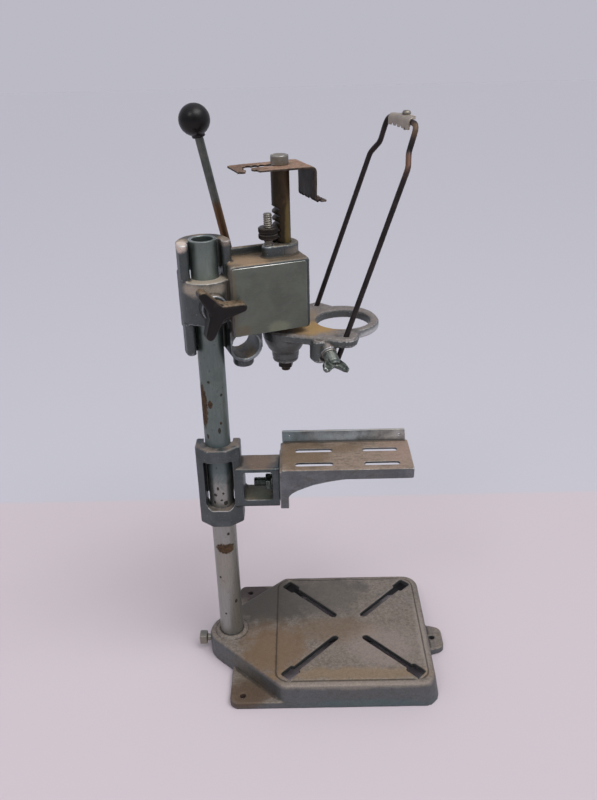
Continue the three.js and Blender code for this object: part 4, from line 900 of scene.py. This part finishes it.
# The strip in front of the slot is broken through here.
broken = [(38.5, -28), (46.5, -28), (45.0, -21), (47.4, -16), (45.6, -10), (47.5, -3), (39.8, -3),
          (37.4, -8), (39.8, -13), (36.8, -18), (39.4, -22)]
bracket = {"name": "steadySheet", "node": "steady_bracket", "ride": "steady", "slot": "rusty_steel",
           "turn": headTurn, "grid": 0.45, "ripple": 0.35, "rippleLength": 16,
           "wornShape": eatenSheet, "bites": [(broken, 530, 550)]}
softPiece(bracket, bracketRust)

# Carriage
ring = {"u": 134.8, "bore": 26.4}
ringCentre = postCentre + turnedBy(carriageTurn, ring["u"] - post["u"], 0)
carriage = {"name": "carriageBody", "node": "carriage_casting", "ride": "carriage", "slot": "cast_grey",
            "turn": carriageTurn, "grid": 0.7, "ease": 3, "ripple": 0.25, "rippleLength": 12, "pits": 0.06,
            "rounds": [(ringCentre, upward, ring["bore"])]}
softPiece(carriage, castGrey)
for tag in ("front", "back"):
    wing = {"name": "wingScrew" + tag.title(), "node": "wing_screw_" + tag, "ride": "wing_" + tag,
            "slot": "zinc_steel", "grid": 0.33, "ease": 3, "ripple": 0.18, "rippleLength": 4}
    softPiece(wing, zincSteel)
    flatRing("wingWasher" + tag.title(), "wing_washer_" + tag, "wing_" + tag, platedSteel,
             upward)
print("carriage done")

# Yoke
yoke = {"name": "yokeWire", "node": "yoke_wire", "ride": "yoke", "slot": "dark_steel", "grid": 0.42,
        "ease": 3, "ripple": 0.06, "rippleLength": 9}
softPiece(yoke, wireSteel)
saddle = {"name": "yokeSaddle", "node": "yoke_saddle", "ride": "yoke", "slot": "plated_steel",
          "grid": 0.27, "ripple": 0.3, "rippleLength": 9}
softPiece(saddle, saddleSteel)
yokeScrew = {"name": "yokeScrew", "node": "yoke_screw", "ride": "yoke", "slot": "plated_steel",
             "grid": 0.25, "ease": 3}
softPiece(yokeScrew, platedSteel)
yokeNut = {"name": "yokeNut", "node": "yoke_screw_nut", "ride": "yoke", "slot": "plated_steel",
           "grid": 0.25}
softPiece(yokeNut, platedSteel)
print("yoke done")

# Table bracket and table
tableBracket = {"name": "tableBracket", "node": "table_clamp", "ride": "table_carrier", "slot": "cast_grey",
                "grid": 0.62, "ease": 3, "ripple": 0.16, "rippleLength": 12, "pits": 0.05,
                "rounds": [(columnFoot, upward, columnBore)]}
softPiece(tableBracket, castDark)
tableKnob = {"name": "tableKnob", "node": "table_clamp_knob", "ride": "table_knob", "slot": "black_plastic",
             "grid": 0.5, "ease": 3}
softPiece(tableKnob, blackPlastic)
studPiece("tableStud", "table_clamp_stud", "table_knob", darkSteel, (0, 1, 0))

foot = {"right": 60.0, "top": 224.0, "low": 206.0, "rise": 4.5}


# The end wall's foot stops a little above the bracket's lower edge.
def shorterFoot(points):
    share = np.clip((foot["top"] - points[:, 2]) / (foot["top"] - foot["low"]), 0, 1)
    points[:, 2] += share * foot["rise"] * (points[:, 0] > foot["right"])
    return points


# Under the fence the table is open, so light comes through the slots.
openBack = [(72, 25.5), (191, 25.5), (191, 31), (72, 31)]
table = {"name": "workTable", "node": "work_table", "ride": "table", "slot": "cast_grey",
         "grid": 0.68, "ripple": 0.2, "rippleLength": 20, "pits": 0.04, "wornShape": shorterFoot,
         "bites": [(openBack, 196, 249)]}
softPiece(table, castTable)

# Tilt bolt: a hexagon head on a threaded shank.
tilt = {"pitch": 1.5, "depth": 0.55, "radius": 4.75, "height": 225.0, "neck": 69.4, "flat": 8.0,
        "corner": 9.24, "threaded": 17}
tiltLow, tiltHigh = (np.array(corner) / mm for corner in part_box("tilt_bolt"))
boltLength = tiltHigh[0] - tiltLow[0]
headFace = tilt["neck"] - tiltLow[0]
shankShape = thread(tilt["pitch"], tilt["depth"], 0.3, tilt["threaded"])


def boltShape(angle, height, radius):
    if height < headFace - 0.3:
        return shankShape(angle, height, radius)
    side = (angle + math.pi / 6) % (math.pi / 3) - math.pi / 6
    return min(tilt["flat"] / math.cos(side), radius)


turnedPiece("tiltBolt", dividedProfile([
    (0, 0, 0), (tilt["radius"] - 0.9, 0, 0), (tilt["radius"], 0.9, 0), (tilt["radius"], headFace, 0),
    (tilt["corner"], headFace, 0), (tilt["corner"], boltLength - 1.0, 0.4), (8.0, boltLength, 0.6),
    (7.0, boltLength, 0), (0, boltLength, 0)], 0.22),
    {"start": np.array([tiltLow[0], 0, tilt["height"]]), "way": np.array([1.0, 0, 0])}, "table_carrier",
    "tilt_bolt", zincSteel, 72, shape=boltShape, across=(0, 1, 0))
tiltNut = {"name": "tiltNut", "node": "tilt_nut", "ride": "table_carrier", "slot": "plated_steel",
           "grid": 0.35}
softPiece(tiltNut, zincSteel)
flatRing("tiltWasher", "tilt_washer", "table_carrier", zincSteel, (1, 0, 0))
print("table done")

# Pale floor and backdrop, soft lamps and the camera.
room = {"floor": "d0c5cd", "wall": "c8c7d2", "fold": 0.307, "soft": 0.006, "reach": 7.0, "level": -0.0002}
bpy.ops.mesh.primitive_plane_add(size=room["reach"] * 2, location=(0, 0, room["level"]))
floor = bpy.context.object
floor.name = "floor"
paper = bpy.data.materials.new("paleFloor")
paper.use_nodes = True
tree = paper.node_tree
shader = tree.nodes["Principled BSDF"]
coords = add(tree, "TexCoord").outputs["Object"]
split = add(tree, "SeparateXYZ", _0=coords)
share = remap(tree, split.outputs[1], room["fold"] - room["soft"], room["fold"] + room["soft"])
ground = blendColour(tree, share, paint(room["floor"]), paint(room["wall"]))
tree.links.new(ground, shader.inputs["Base Color"])
shader.inputs["Roughness"].default_value = 0.9
shader.inputs["Specular IOR Level"].default_value = 0.1
floor.data.materials.append(paper)

light = {"sky": 0.5, "shown": "bbbac5", "dim": 0.3, "full": 1.1, "bright": (0.25, 0.7, 0.6),
         "fade": (-0.75, 0.45), "key": 1.25, "fill": 0.2, "box": 4.5, "tube": 5.0}
world = bpy.data.worlds.new("studio")
bpy.context.scene.world = world
world.use_nodes = True
tree = world.node_tree
tree.nodes.clear()
worldOut = tree.nodes.new("ShaderNodeOutputWorld")
path = add(tree, "LightPath")
direct = sums(tree, "MAXIMUM", path.outputs["Is Camera Ray"], path.outputs["Is Glossy Ray"])
direct = sums(tree, "MAXIMUM", direct, path.outputs["Is Transmission Ray"])
# Mirrored in metal, the backdrop grows dim on the side away from the lamps.
mirrored = add(tree, "TexCoord").outputs["Generated"]
facing = vectorSums(tree, "DOT_PRODUCT", mirrored, light["bright"], "Value")
level = remap(tree, facing, *light["fade"], (light["dim"], light["full"]))
level = blendValue(tree, path.outputs["Is Camera Ray"], level, 1.0)
sky = add(tree, "Background", Color=(0.97, 0.98, 1.0, 1.0), Strength=light["sky"])
shown = add(tree, "Background", Color=paint(light["shown"]), Strength=level)
mixed = add(tree, "MixShader", _0=direct, _1=sky.outputs[0], _2=shown.outputs[0])
tree.links.new(mixed.outputs[0], worldOut.inputs[0])


def addLamp(name, kind, energy, towards, colour, place=(0, 0, 2), spread=None, size=None):
    lamp = bpy.data.lights.new(name, kind)
    lamp.energy = energy
    lamp.color = colour
    if spread:
        lamp.angle = math.radians(spread)
    if size:
        lamp.shape = "RECTANGLE"
        lamp.size, lamp.size_y = size
    holder = placed(name, lamp)
    holder.location = place
    holder.rotation_mode = "QUATERNION"
    holder.rotation_quaternion = Vector(towards).to_track_quat("-Z", "Y")
    holder.visible_camera = False


white = (1.0, 1.0, 1.0)
addLamp("keyLight", "SUN", light["key"], (-0.45, 0.36, -1.0), (1.0, 0.98, 0.96), spread=42)
addLamp("fillLight", "SUN", light["fill"], (0.6, 0.7, -0.4), (0.94, 0.97, 1.0), spread=80)
addLamp("softBox", "AREA", light["box"], (0.74, 1.2, -1.5), white, (-0.74, -1.2, 1.95), size=(0.5, 0.5))
addLamp("tubeLight", "AREA", light["tube"], (-0.5, 0.5, -1.6), white, (0.7, -0.5, 2.0), size=(1.4, 0.14))

view = {"place": (0.08714, -0.6882, 0.66342), "down": 26.646, "yaw": -0.415, "roll": -1.388, "lens": 35.37,
        "sensor": 36}
lens = bpy.data.cameras.new("camera")
lens.lens = view["lens"]
lens.sensor_width = view["sensor"]
lens.sensor_fit = "AUTO"
camera = placed("camera", lens)
turns = (Matrix.Rotation(math.radians(-view["yaw"]), 4, "Z")
         @ Matrix.Rotation(math.radians(90 - view["down"]), 4, "X")
         @ Matrix.Rotation(math.radians(view["roll"]), 4, "Z"))
camera.matrix_world = Matrix.Translation(view["place"]) @ turns
bpy.context.scene.camera = camera
bpy.context.scene.view_settings.view_transform = "Standard"
print("room and camera done")
